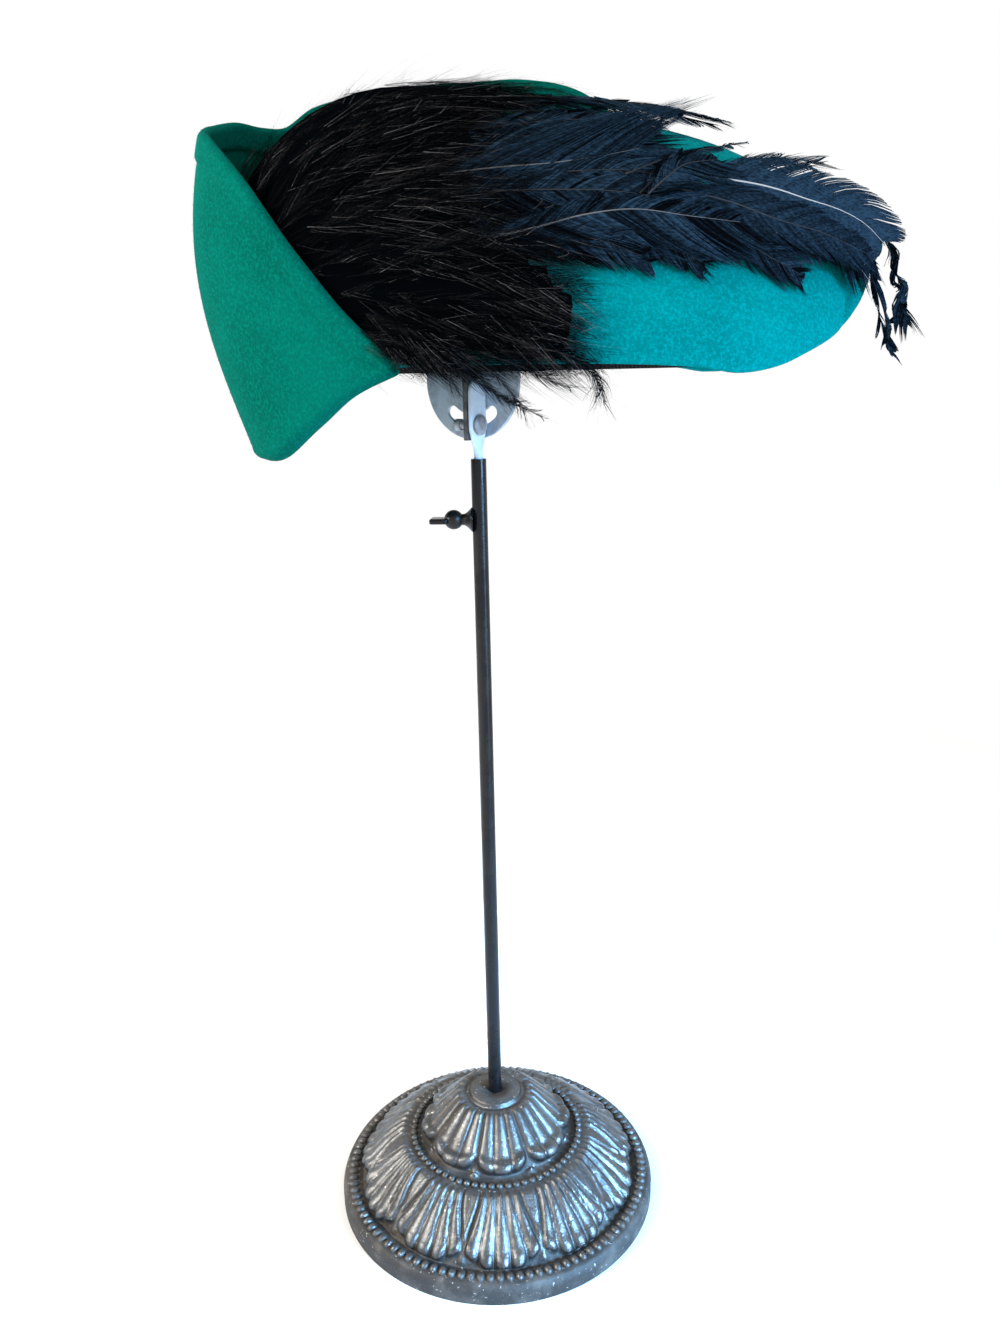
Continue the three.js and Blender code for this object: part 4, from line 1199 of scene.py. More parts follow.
class HAT_OT_ribbon(BuildPiece, bpy.types.Operator):
    """Builds the grosgrain ribbon inside the hem"""

    bl_idname = "hat.ribbon"
    bl_label = "Head Ribbon"

    def execute(self, context):
        sizes = context.scene.hat_sizes
        low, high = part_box("head_ribbon")
        angles = np.arange(0, 360, 1.0)
        clearance = 0.75 * MM
        grids = []
        for extra in (0.0, sizes.ribbon_wall):
            trim = sizes.felt_wall + clearance + extra
            rows = []
            for z in np.linspace(low.z, high.z, 9):
                up = max(z - sizes.hem_height, 0) / sizes.crown_height
                out = (1 - up**DROP_POWER) ** (1 / DOME_POWER)
                plan = plan_point(sizes, angles, high.x - sizes.crown_middle - extra, trim) * out
                level = np.full(len(angles), z)
                rows.append(np.column_stack([sizes.crown_middle + plan[:, 0], plan[:, 1], level]))
            grids.append(np.stack(rows, 1))
        ribbon = new_mesh("head_ribbon_band", *slab(grids[0], grids[1], True))
        add_band_map(ribbon, sizes)
        finish_piece(ribbon, ribbon_material(context.scene.hat_colours), "ribbon", "head_ribbon")
        return {"FINISHED"}


def add_band_map(piece, sizes):
    """A map whose U runs round the band and whose V runs up it."""
    layer = piece.data.uv_layers.new(name="Along")
    co = np.array([v.co for v in piece.data.vertices])
    loops = np.array([loop.vertex_index for loop in piece.data.loops])
    around = np.arctan2(co[:, 1], co[:, 0] - sizes.crown_middle) / (2 * math.pi)
    u = around[loops].reshape(-1, 4) if len(loops) % 4 == 0 else around[loops][:, None]
    wrapped = u + (u.max(1, keepdims=True) - u > 0.5)
    uv = np.stack([wrapped.reshape(-1), co[loops, 2] / sizes.ribbon_height], 1)
    layer.data.foreach_set("uv", uv.astype(np.float32).ravel())


def felt_trees(sizes):
    """Search trees of the crown's outside and of the brim."""
    angles = np.arange(0, 360, 3.0)
    shares = np.linspace(0, 1, 40)
    crown = crown_grid(sizes, angles, shares, 0.0)
    crown_tree = tree_of(crown.reshape(-1, 3), grid_faces(len(angles), len(shares), True))
    rows = []
    for angle in brim_angles(81):
        line, _ = brim_section(sizes, angle)
        rows.append(place_at(sizes, np.full(len(line), angle), line[:, 0], line[:, 1]))
    brim = np.array(rows)
    return crown_tree, tree_of(brim.reshape(-1, 3), grid_faces(*brim.shape[:2]))


def outward(tree, place, middle):
    """The nearest place on the felt, the direction away from it there, and the distance."""
    spot, normal, _, _ = tree.find_nearest(place)
    if normal.dot(spot - middle) < 0:
        normal = -normal
    return spot, normal, (place - spot).dot(normal)


class PhotoView:
    """Rays of the camera through pixels of the photo, and the places that they meet over the felt."""

    def __init__(self, stage, tree, middle):
        self.eye = Vector(stage.camera_place)
        self.turn = camera_turn(stage).to_3x3()
        self.focal = stage.focal
        self.tree = tree
        self.middle = middle

    def ray(self, x, y):
        """The direction through a pixel."""
        across = (x - PHOTO_WIDTH / 2) / self.focal
        up = (PHOTO_HEIGHT / 2 - y) / self.focal
        return (self.turn @ Vector((across, up, -1.0))).normalized()

    def pixel(self, place):
        """The pixel that a place is seen at."""
        local = self.turn.transposed() @ (Vector(place) - self.eye)
        x = PHOTO_WIDTH / 2 - self.focal * local.x / local.z
        return x, PHOTO_HEIGHT / 2 + self.focal * local.y / local.z

    def way(self, angle):
        """The direction in space that the photo shows at an angle above its rightward way."""
        turn = math.radians(angle)
        return np.array(self.turn @ Vector((math.cos(turn), math.sin(turn), 0)))

    def at_side(self, x, y, side):
        """The place on a pixel's ray whose Y is side."""
        ray = self.ray(x, y)
        return self.eye + ray * ((side - self.eye.y) / ray.y)

    def over_felt(self, x, y, lift):
        """The place on a pixel's ray that lies a lift over the felt, or comes nearest to that."""
        way = self.ray(x, y)
        run, close, shortest_step = 0.25, 0.00005, 0.0003
        best, best_gap = None, 1e9
        for _ in range(90):
            place = self.eye + way * run
            gap = outward(self.tree, place, self.middle)[2] - lift
            if abs(gap) < best_gap:
                best, best_gap = place, abs(gap)
            if gap < close:
                break
            run += max(gap * 0.7, shortest_step)
        return best


def camera_turn(stage):
    """The camera's turn as a matrix."""
    pitch, yaw, roll = (math.radians(v) for v in (stage.pitch, stage.yaw, stage.roll))
    aimed = Euler((math.pi / 2 - pitch, 0, yaw)).to_matrix()
    return (aimed @ Euler((0, 0, roll)).to_matrix()).to_4x4()


def photo_view(scene):
    """The view through the photo's pixels over the crown's felt, and a search tree of the brim."""
    sizes = scene.hat_sizes
    crown_tree, brim_tree = felt_trees(sizes)
    middle = Vector((sizes.crown_middle, 0, sizes.hem_height))
    return PhotoView(scene.hat_stage, crown_tree, middle), brim_tree


def laid_feather(route, form, view, rng, layer, face):
    """One long feather, its barbs draped on the felt. face turns it to the camera."""
    shaft = smooth_route(route, 40)
    ups = [outward(view.tree, Vector(place), view.middle)[1] for place in shaft]
    ups = (1 - face) * np.array(ups) + face * unit(np.array(view.eye) - shaft)
    for _ in range(6):
        ups[1:-1] = (ups[:-2] + ups[1:-1] + ups[2:]) / 3
    points, faces, tones, quills = feather_arrays(shaft, unit(ups), form, rng)
    clearance = 0.5 * MM + layer
    draped = []
    for place in points:
        spot, normal, height = outward(view.tree, Vector(place), view.middle)
        draped.append(place if height > clearance else np.array(spot + normal * clearance))
    return np.array(draped), faces, tones, quills


class HAT_OT_long_feathers(BuildPiece, bpy.types.Operator):
    """Builds the long feathers over the narrow end"""

    bl_idname = "hat.long_feathers"
    bl_label = "Long Feathers"

    def execute(self, context):
        scene = context.scene
        rng = np.random.default_rng(scene.hat_feathers.seed)
        view, _ = photo_view(scene)
        quill = scene.hat_feathers.quill_radius
        parts = []
        for row in LONG_FEATHERS:
            for copy in range(row["copies"]):
                parts.append(near_feather(row, copy, view, rng, quill))
        for row in FAR_FEATHERS:
            for copy in range(3):
                parts.append(far_feather(row, copy, view, rng, quill, scene.hat_sizes))
        nodes = ("spray_upper", "spray_middle", "spray_lower")
        build_feathers("long_feathers", parts, "coque", nodes, scene.hat_colours)
        return {"FINISHED"}


# What differs in a long feather's first, second and third copy: how many pixels it may lie aside, how many
# millimetres it lies lower, and how much darker it is. The darker tone of the lower copies is painted shade
# under the feathers above them.
COPY_SHIFT = (0, 6, 9)
COPY_UNDER = (0, 1.5, 2.5)
COPY_TONE = (1, 0.7, 0.5)


def near_feather(row, copy, view, rng, quill):
    """A copy of a long feather on the photo's side."""
    aside, down = rng.normal(size=2) * COPY_SHIFT[copy] * (1, 0.5)
    under = COPY_UNDER[copy]
    low, high = row["lift"]
    last = len(row["route"]) - 1
    route = [
        view.over_felt(x + aside, y + down, (low + (high - low) * k / last - under) * MM)
        for k, (x, y) in enumerate(row["route"])
    ]
    form = dict(LONG_FORM, left=row["above"] * MM, right=row["below"] * MM, quill_radius=quill)
    # Lower copies are darker as painted shade, and only the first has the painted highlight on its shaft.
    form["tone"] = row["tone"] * COPY_TONE[copy]
    form["pale"] = row["pale"] if copy == 0 else 0.03
    form["angle_root"], form["angle_tip"] = row["angles"]
    form["longest"] = row["longest"] * MM
    form["rag"] = row["rag"]
    if row["smooth"]:
        form.update(SMOOTH_FORM)
    return laid_feather(route, form, view, rng, (2 - copy) * 0.4 * MM, row["face"])


def far_feather(row, copy, view, rng, quill, sizes):
    """A copy of a long feather on the far side. The later ones lie lower and a little aside."""
    turn, share = np.array(row).T
    turn_shift, share_shift, highest = (0, 4, 6)[copy], (0, 0.02, 0.03)[copy], 0.99
    turn = turn + rng.normal() * turn_shift
    share = np.minimum(share + rng.normal() * share_shift, highest)
    lift = np.linspace(3.5, 5 - copy, len(row)) * MM
    route = crown_place(sizes, turn, share, 0.0) + outward_ways(sizes, turn, share) * lift[:, None]
    # The lower copies are drawn darker, as painted shade under the copies above.
    tone = (0.2, 0.12, 0.08)[copy]
    form = dict(LONG_FORM, left=10 * MM, right=10 * MM, tone=tone, barbs=80, quill_radius=quill)
    return laid_feather(route, form, view, rng, (2 - copy) * 0.4 * MM, 0.0)


def build_feathers(name, parts, slot, nodes, colours):
    """One piece from the arrays of many feathers."""
    points, faces = joined([(part[0], part[1]) for part in parts])
    tones = np.concatenate([part[2] for part in parts])
    quills = np.concatenate([part[3] for part in parts])
    piece = new_mesh(name, points, faces, attributes={"tone": tones, "quill": quills}, clean=False)
    # The pale colours of this material paint the sheen of the vanes and the highlights on the shafts.
    finish = bpy.data.materials.get("Long feathers") or feather_material(
        "Long feathers", colours.long_dark, colours.long_sheen, colours.quill, 0.6
    )
    return finish_piece(piece, finish, slot, *nodes)


# Loose ends in photo pixels, from root to tip. A curl's next values are how many millimetres over the felt
# it starts, how many its barbs reach aside, and how many degrees it twists. A wisp's is the Y, in
# millimetres, of the upright plane that it hangs in.
CURLS = (
    (((866, 243), (872, 270), (876, 300), (882, 325), (893, 356)), 6, 4.6, 150),
    (((868, 250), (875, 282), (884, 312), (888, 340)), 7, 3.4, -120),
    (((888, 240), (895, 256), (893, 270), (903, 286), (900, 304), (908, 325)), 11, 5.2, 200),
    (((896, 262), (894, 280), (905, 300), (896, 322)), 10, 3.8, -160),
)
WISPS = (
    (((428, 352), (465, 374), (500, 396), (542, 417)), -82),
    (((440, 350), (470, 368), (492, 390), (510, 406)), -83),
    (((462, 352), (494, 374), (514, 396), (526, 412)), -83.5),
    (((420, 350), (442, 366), (454, 384), (460, 396)), -81),
    (((500, 350), (545, 356), (582, 366), (600, 384), (604, 405)), -82),
    (((520, 346), (560, 352), (590, 366), (598, 384), (596, 400)), -83),
    (((480, 352), (520, 366), (548, 380), (570, 388)), -82.5),
)


class HAT_OT_loose_ends(BuildPiece, bpy.types.Operator):
    """Builds the curls at the narrow end and the wisps below the hem"""

    bl_idname = "hat.loose_ends"
    bl_label = "Loose Ends"

    def execute(self, context):
        scene = context.scene
        feathers, colours = scene.hat_feathers, scene.hat_colours
        rng = np.random.default_rng(feathers.seed + 2)
        view, _ = photo_view(scene)
        curl = dict(LONG_FORM, barbs=60, steps=4, cluster=9.0, rag=0.3, pull=0.8, split=0.0016, lift=0.0012)
        curl.update(angle_root=36.0, angle_tip=14.0, tone=0.12, fullness=1.7, swell=0.05, full_to=0.75)
        curl.update(quill_radius=feathers.quill_radius * 0.9)
        curls = []
        for route, lift, reach, twist in CURLS:
            form = dict(curl, left=reach * MM, right=reach * 0.8 * MM)
            side = view.over_felt(*route[0], lift * MM).y
            curls.append(hung_feather(route, side, form, view, rng, twist))
        build_feathers("curls", curls, "coque", ("curl_inner", "curl_outer"), colours)
        wisp = dict(SOFT_FORM, barbs=40, steps=5, cluster=3.0, angle_root=24.0, angle_tip=4.0, fluff=0.0012)
        reach = feathers.soft_reach * 0.45
        wisp.update(left=reach, right=reach, bare=0.15, longest=0.02)
        wisp.update(fullness=0.8, quill_radius=0.0004, split=0.002, tone=0.0, tone_power=20.0)
        wisps = [hung_feather(route, side * MM, wisp, view, rng, 40) for route, side in WISPS]
        build_feathers("wisps", wisps, "hackle", ("wisp_left", "wisp_right"), colours)
        return {"FINISHED"}


def hung_feather(route, side, form, view, rng, twist):
    """A feather that hangs in the upright plane whose Y is side, and twists about its shaft."""
    shaft = smooth_route([view.at_side(x, y, side) for x, y in route], 28)
    tangent = unit(np.gradient(shaft, axis=0))
    face = unit(np.array(view.eye) - shaft)
    aside = unit(np.cross(tangent, face))
    turn = np.radians(twist) * np.linspace(0, 1, len(shaft))[:, None]
    up = unit(np.cross(aside, tangent)) * np.cos(turn) + aside * np.sin(turn)
    return feather_arrays(shaft, up, form, rng)


class HAT_OT_soft_feathers(BuildPiece, bpy.types.Operator):
    """Builds the heap of soft feathers over the back of the crown"""

    bl_idname = "hat.soft_feathers"
    bl_label = "Soft Feathers"

    def execute(self, context):
        feathers, colours = context.scene.hat_feathers, context.scene.hat_colours
        rng = np.random.default_rng(feathers.seed + 1)
        # The pale colour paints the glints on the barbs and the highlights on the shafts.
        pale = colours.soft_pale_and_glint
        finish = feather_material("Soft feathers", colours.soft_dark, pale, pale, 0.5)
        kinds = soft_kinds(feathers, rng)
        view, brim_tree = photo_view(context.scene)
        ground = heap_ground(finish, view)
        for number, name in enumerate(("soft_feathers_under", "soft_feathers_over")):
            places, turns, scales, kind = heap_points(ground, feathers, view, brim_tree, rng, number)
            holder = point_cloud(f"heap_points_{number}", places, turn=turns, size=scales, kind=kind)
            tree = shared("Scattered feathers", scatter_tree)
            values = {"Feathers": kinds, "Size": 1.0, "Material": finish}
            piece = run_tree(holder, tree, values, name)
            bpy.data.objects.remove(holder)
            finish_piece(piece, None, "hackle")
        for kind_object in list(kinds.objects):
            bpy.data.objects.remove(kind_object)
        bpy.data.collections.remove(kinds)
        return {"FINISHED"}


def heap_ground(finish, view):
    """The dark ground under the soft feathers: the frame's heap made smooth, and sunk at its right end."""
    mesh = frame["nodes"]["hackle_feathers"].data.copy()
    mesh.name = "feather_ground"
    work = bmesh.new()
    work.from_mesh(mesh)
    bmesh.ops.remove_doubles(work, verts=work.verts, dist=1e-5)
    bmesh.ops.subdivide_edges(work, edges=work.edges, cuts=1, use_grid_fill=True)
    for _ in range(6):
        bmesh.ops.smooth_vert(
            work, verts=work.verts, factor=0.5, use_axis_x=True, use_axis_y=True, use_axis_z=True
        )
    depth = 0.4 * MM
    for vert in work.verts:
        x, y = view.pixel(vert.co)
        limit = np.interp(y, SOFT_RIGHT["y"], SOFT_RIGHT["x"])
        sunk = float(ease(limit - 5, limit + 60, x))
        spot, normal, _ = outward(view.tree, vert.co, view.middle)
        vert.co = vert.co.lerp(spot - normal * depth, sunk)
    bmesh.ops.recalc_face_normals(work, faces=work.faces)
    work.to_mesh(mesh)
    work.free()
    for name in ("tone", "quill"):
        mesh.attributes.new(name, "FLOAT", "POINT")
    shade_smooth(mesh)
    return finish_piece(link_piece("feather_ground", mesh), finish, "hackle", "hackle_feathers")


def soft_kinds(feathers, rng):
    """A collection of a few soft feathers to scatter, each along X with its back up."""
    kinds = bpy.data.collections.new("soft_kinds")
    for number in range(6):
        size = feathers.soft_length * rng.uniform(0.85, 1.15)
        bend_radius = rng.uniform(0.07, 0.13)
        turn = np.linspace(0, size / bend_radius, 9)
        shaft = np.column_stack([bend_radius * np.sin(turn), 0 * turn, bend_radius * (np.cos(turn) - 1)])
        shaft[:, 1] = rng.uniform(-0.12, 0.12) * shaft[:, 0] ** 2 / size
        up = np.column_stack([np.sin(turn), 0 * turn, np.cos(turn)])
        form = dict(SOFT_FORM)
        form["left"] = form["right"] = feathers.soft_reach * rng.uniform(0.8, 1.2)
        form["fullness"] = feathers.barb_width / (size / form["barbs"])
        points, faces, tones, quills = feather_arrays(shaft, up, form, rng)
        marks = {"tone": tones, "quill": quills}
        kind = new_mesh(f"soft_kind_{number}", points, faces, attributes=marks, clean=False)
        bpy.context.scene.collection.objects.unlink(kind)
        kinds.objects.link(kind)
    return kinds


# How the soft feathers fan out in the photo: pixels of the point that they fan from, the run over which
# the fan turns level, and where the lower ones droop.
FAN_X = 195.0
FAN_Y = 275.0
FAN_FADE = 340.0
DROOP_ANGLE = 24.0
DROOP_ACROSS = (300.0, 580.0)
DROOP_DOWN = (215.0, 335.0)

# Pixels of four lines. Soft feathers stay below the first and above the third, their roots lie left of the
# second, give or take some pixels, and their tips left of the last.
SOFT_TOP = {
    "x": (180, 224, 250, 285, 330, 380, 425, 450, 550, 620),
    "y": (205, 168, 152, 134, 101, 94, 92, 80, 80, 100),
}
SOFT_RIGHT = {"y": (60, 110, 130, 190, 240, 300, 360), "x": (455, 435, 405, 405, 465, 522, 515)}
SOFT_BOTTOM = 373.0
SOFT_TIPS = {"y": (60, 200, 240, 300, 350, 375), "x": (760, 700, 600, 600, 606, 580)}

# Strips of the photo where more soft feathers start: the pixels that each spans across and down, the angle
# that its feathers lie at, the lowest pixel that they reach, and how many millimetres over the felt they
# start. Those marked over may cross the brim. The share is that of the upper half's feathers in strips.
FRINGES = (
    {"x": (374, 490), "y": (326, 362), "angle": -14, "bottom": 371, "lift": 2, "over": False},
    {"x": (465, 545), "y": (236, 350), "angle": -18, "bottom": 364, "lift": 2, "over": False},
    {"x": (362, 388), "y": (318, 346), "angle": -24, "bottom": 371, "lift": 7, "over": True},
    {"x": (232, 275), "y": (172, 240), "angle": 50, "bottom": 300, "lift": 2, "over": False},
    {"x": (425, 500), "y": (84, 100), "angle": 2, "bottom": 300, "lift": 8, "over": False},
)
FRINGE_SHARE = 0.48


def flow_angle(x, y):
    """The angle in the photo of the soft feathers at a pixel."""
    nearest = 25
    fan = math.degrees(math.atan2(FAN_Y - y, max(x - FAN_X, nearest)))
    fan *= math.exp(-max(x - FAN_X, 0) / FAN_FADE)
    return fan - DROOP_ANGLE * float(ease(*DROOP_ACROSS, x) * ease(*DROOP_DOWN, y))


def inside_outline(view, place, way, up, reach, bottom):
    """Whether a soft feather's middle and tip are seen inside the heap's outline."""
    droop = 0.2
    for share in (0.6, 1.0):
        x, y = view.pixel(place + (way * share - up * droop * share**2) * reach)
        if not np.interp(x, SOFT_TOP["x"], SOFT_TOP["y"]) < y < bottom:
            return False
        if x > np.interp(y, SOFT_TIPS["y"], SOFT_TIPS["x"]):
            return False
    return True


def heap_points(ground, feathers, view, brim_tree, rng, half):
    """Places, turns, sizes and kinds of the soft feathers on the outside of the heap."""
    mesh = ground.data
    centres = np.array([p.center for p in mesh.polygons])
    normals = np.array([p.normal for p in mesh.polygons])
    areas = np.array([p.area for p in mesh.polygons])
    outside = (normals * unit(centres - np.array(view.middle) + [0, 0, 0.02])).sum(1) > 0.25
    facing = (normals * unit(np.array(view.eye) - centres)).sum(1) > -0.1
    weights = areas * outside * (np.where(facing, 1, 0) if half else np.where(facing, 0.45, 0.6))
    weights = weights / weights.sum()
    places, ways, ups, scales = [], [], [], []
    shortest, strip_scale, side_step = 0.35, 0.6, 6 * MM
    spread, wild_spread, wild_share = 6, 20, 0.05
    for _ in range(feathers.soft_count * 8):
        if len(places) == feathers.soft_count:
            break
        in_strip = half == 1 and rng.random() < FRINGE_SHARE
        fringe = FRINGES[rng.integers(0, len(FRINGES))] if in_strip else None
        if fringe:
            x, y = rng.uniform(*fringe["x"]), rng.uniform(*fringe["y"])
            lift = fringe["lift"] * MM
            spot, normal, _ = outward(view.tree, view.over_felt(x, y, lift), view.middle)
            ground_place, ground_up = np.array(spot + normal * lift), np.array(normal)
        else:
            k = rng.choice(len(weights), p=weights)
            ground_place, ground_up = centres[k], normals[k]
        up = unit(ground_up + 0.1 * rng.normal(size=3))
        place = ground_place + up * rng.uniform(-1.0, 1.2) * MM + rng.normal(size=3) * 1.5 * MM
        x, y = view.pixel(place)
        if not fringe and x > np.interp(y, SOFT_RIGHT["y"], SOFT_RIGHT["x"]) + rng.normal() * 12:
            continue
        most = wild_spread if rng.random() < wild_share else spread
        turn = rng.normal() * most
        way = view.way((fringe["angle"] if fringe else flow_angle(x, y)) + turn)
        way = unit(way - up * (way @ up))
        way = unit(way + up * rng.uniform(0.0, 0.13))
        scale = rng.uniform(0.75, 1.15) * (strip_scale if fringe else 1)
        bottom = fringe["bottom"] if fringe else SOFT_BOTTOM
        reach = feathers.soft_length * scale
        while scale > shortest and not inside_outline(view, place, way, up, reach, bottom):
            scale *= 0.85
            reach = feathers.soft_length * scale
        if scale <= shortest:
            continue
        aside = unit(np.cross(up, way)) * side_step
        starts = (place,) if fringe else (place, place + aside, place - aside)
        hits = [brim_tree.ray_cast(Vector(start), Vector(way), reach)[0] for start in starts]
        if any(hit is not None for hit in hits) and not (fringe and fringe["over"]):
            continue
        places.append(place)
        ways.append(way)
        ups.append(up)
        scales.append(scale)
    turns = turns_to(np.array(ways), np.array(ups))
    return np.array(places), turns, np.array(scales), rng.integers(0, 6, len(places))


class HAT_OT_base(BuildPiece, bpy.types.Operator):
    """Builds the cast base with its leaves, lobes and bead rings"""

    bl_idname = "hat.base"
    bl_label = "Cast Base"

    def execute(self, context):
        stand = context.scene.hat_stand
        finish = casting_material(context.scene.hat_colours)
        radius, height = stand.base_diameter / 2, stand.base_height
        out = np.array(BASE_TABLE["out"]) * radius
        up = np.array(BASE_TABLE["up"]) * height
        run = np.concatenate([[0], np.cumsum(np.hypot(np.diff(out), np.diff(up)))])
        fine = np.linspace(0, run[-1], 128)
        skin = np.column_stack([np.interp(fine, run, out), np.interp(fine, run, up)])
        skin[1:-1] = (skin[:-2] + 2 * skin[1:-1] + skin[2:]) / 4
        along = np.gradient(skin, axis=0)
        normal = unit(np.stack([along[:, 1], -along[:, 0]], 1))
        turn = full_turn(550)
        relief = base_relief(stand, skin[None, :, 0] / radius, turn[:, None])
        outer = spun(skin[:, 0] + normal[:, 0] * relief, skin[:, 1] + normal[:, 1] * relief, turn)
        bore = stand.tube_diameter / 2 + 0.2 * MM
        bore_line = [(bore, height - 0.3 * MM), (bore, height * 0.8)]
        inside = np.array([*bore_line, (radius * 0.5, height * 0.4), (radius * 0.93, 0)])
        inner = spun(inside[:, 0], inside[:, 1], turn)
        ring = np.concatenate([outer, inner, outer[:, :1]], 1)
        # The relief value sends the casting's colour from the ridges' worn grey to the hollows' dark, which
        # is partly dusty patina and partly painted shade; the plain boss round the tube is drawn as light as
        # the worn ridges.
        plain_light, boss_share = 0.2, 0.19
        boss_light = 0.55 * (skin[None, :, 0] < boss_share * radius)
        light = relief / (stand.leaf_relief * 1.15) + plain_light + boss_light
        light = np.concatenate([light, np.zeros((len(turn), len(inside) + 1))], 1).reshape(-1)
        faces = grid_faces(*ring.shape[:2], True)
        casting = new_mesh("base_relief", ring.reshape(-1, 3), faces, attributes={"relief": light})
        finish_piece(casting, finish, "casting", "base_casting")
        places = ((radius * 0.932, height * 0.18), (radius * 0.53, height * 0.575))
        bead_ring("outer_beads", *places[0], stand.bead_outer, stand.outer_beads, (1.15, 0.85, 0.9))
        bead_ring("inner_beads", *places[1], stand.bead_inner, stand.inner_beads, (1.0, 0.95, 0.9))
        return {"FINISHED"}


def bead_ring(name, out, level, bead, number, stretch):
    """A ring of beads on the casting, brightest on their tops and darker low down, partly as dusty patina
    and partly as painted shade.
    """
    angle = full_turn(number)
    places = np.column_stack([out * np.cos(angle), out * np.sin(angle), np.full(number, level)])
    holder = point_cloud(name + "_points", places, turn=np.column_stack([0 * angle, 0 * angle, angle]))
    finish = bpy.data.materials["Casting"]
    values = {"Bead radius": bead, "Stretch": stretch, "Material": finish}
    beads = run_tree(holder, shared("Bead ring", bead_tree), values, name)
    bpy.data.objects.remove(holder)
    heights = np.array([v.co.z for v in beads.data.vertices]) - level
    write_attributes(beads.data, {"relief": np.clip(0.2 + 0.6 * heights / bead, 0, 1)})
    finish_piece(beads, None, "casting")


def base_relief(stand, share, turn):
    """Height of the cast leaves and lobes over the base's plain skin, by share of the radius and turn.

    leaf and lobe run from -1 to 1 across one leaf or lobe, and flute across one of its flutes.
    """
    leaf = (turn * stand.leaves / (2 * math.pi)) % 1 * 2 - 1
    fanned = leaf * (1.45 - 0.45 * ease(0.56, 0.84, share))
    flute = ((fanned + 1) * 2.5) % 1 * 2 - 1
    round_flute = np.sqrt(1 - flute**2)
    end = 0.874 - 0.055 * leaf**2 + 0.018 * (round_flute - 1)
    body = ease(0.55, 0.6, share) * (1 - ease(end - 0.008, end + 0.006, share))
    curl = hump((share - end + 0.03) / 0.024)
    fine = np.abs(np.sin(math.pi * flute)) * (1 - ease(0.6, 0.72, share))
    outside = ease(0.9, 1.0, np.abs(fanned))
    between = ease(1.02, 1.1, np.abs(fanned)) * body * 0.5
    dart = hump((np.abs(leaf) - 1) / 0.09) * ease(0.72, 0.77, share) * (1 - ease(0.85, 0.87, share))
    leaves = body * (0.1 + 0.85 * round_flute + 0.4 * curl * round_flute - 0.25 * fine) * (1 - 0.9 * outside)
    leaves = leaves + between + 0.5 * dart
    lobe = (turn * stand.lobes / (2 * math.pi) + 0.25) % 1 * 2 - 1
    bell_flute = ((lobe + 1) * 1.5) % 1 * 2 - 1
    lobe_end = 0.445 - 0.03 * lobe**2
    bell = ease(0.19, 0.23, share) * (1 - ease(lobe_end - 0.006, lobe_end + 0.006, share))
    lip = hump((share - lobe_end + 0.02) / 0.018) * np.sqrt(1 - 0.98 * lobe**2)
    gap = np.abs(lobe) - 1
    ball = hump(gap / 0.13, (share - 0.45) / 0.018)
    lobes = bell * (0.7 * np.sqrt(1 - bell_flute**2) * (1 - 0.9 * hump(gap / 0.1))) + 1.0 * lip + 0.9 * ball
    return stand.leaf_relief * (leaves + lobes)


# Outlines in millimetres: distance from the clamp screw's axis, and distance from the tube's axis.
CLAMP_CONE = ((1.7, 2.6), (5.4, 2.6), (5.2, 3.3), (3.3, 5.1), (2.4, 6.4), (2.3, 8.0), (1.7, 8.0))
SCREW_SHAFT = ((0, 2.2), (1.6, 2.2), (1.6, 6.9))


class HAT_OT_tube(BuildPiece, bpy.types.Operator):
    """Builds the tube with its clamp's cone, and the clamp screw with its knob and wing"""

    bl_idname = "hat.tube"
    bl_label = "Tube and Clamp Screw"

    def execute(self, context):
        stand, colours = context.scene.hat_stand, context.scene.hat_colours
        stain = (0.006, 0.0055, 0.005)
        black = metal_material("Black steel", colours.black_steel, stain, 0.2, 0.0, specular=0.28)
        radius, top = stand.tube_diameter / 2, stand.tube_top
        wall, foot, screw_drop = MM, 12.35 * MM, 25 * MM
        tube = [(radius - wall, foot), (radius, foot), (radius, top), (radius - wall, top)]
        across = Matrix.Translation((0, 0, top - screw_drop)) @ Matrix.Rotation(-math.pi / 2, 4, "Y")
        cone_points, cone_faces = turned(rounded(np.array(CLAMP_CONE) * MM, 0.5 * MM), 48)
        tube_part = turned(rounded(tube, 0.25 * MM), 64)
        points, faces = joined([tube_part, (moved(cone_points, across), cone_faces)])
        finish_piece(new_mesh("tube_wall", points, faces), black, "black_steel", "tube")
        ball_turn, ball_radius, ball_place = np.linspace(0.5, math.pi, 22), 4.1, 11.1
        ball = zip(ball_radius * np.sin(ball_turn), ball_place - ball_radius * np.cos(ball_turn))
        points, faces = turned(np.array([*SCREW_SHAFT, *ball]) * MM, 40)
        screw = new_mesh("screw_knob", moved(points, across), faces)
        finish_piece(screw, black, "black_steel", "thumb_screw")
        wing_out, wing_down = 17.2 * MM, 25.4 * MM
        wing_place = Matrix.Translation((-wing_out, 0, top - wing_down))
        wing_size, wing_bevel = (7.6, 8.6, 2.3), 0.7
        finish_piece(box_piece("screw_wing", wing_size, wing_bevel, wing_place), black, "black_steel")
        support = frame["nodes"]["crown_support"]
        support.data.materials.clear()
        support.data.materials.append(black)
        return {"FINISHED"}


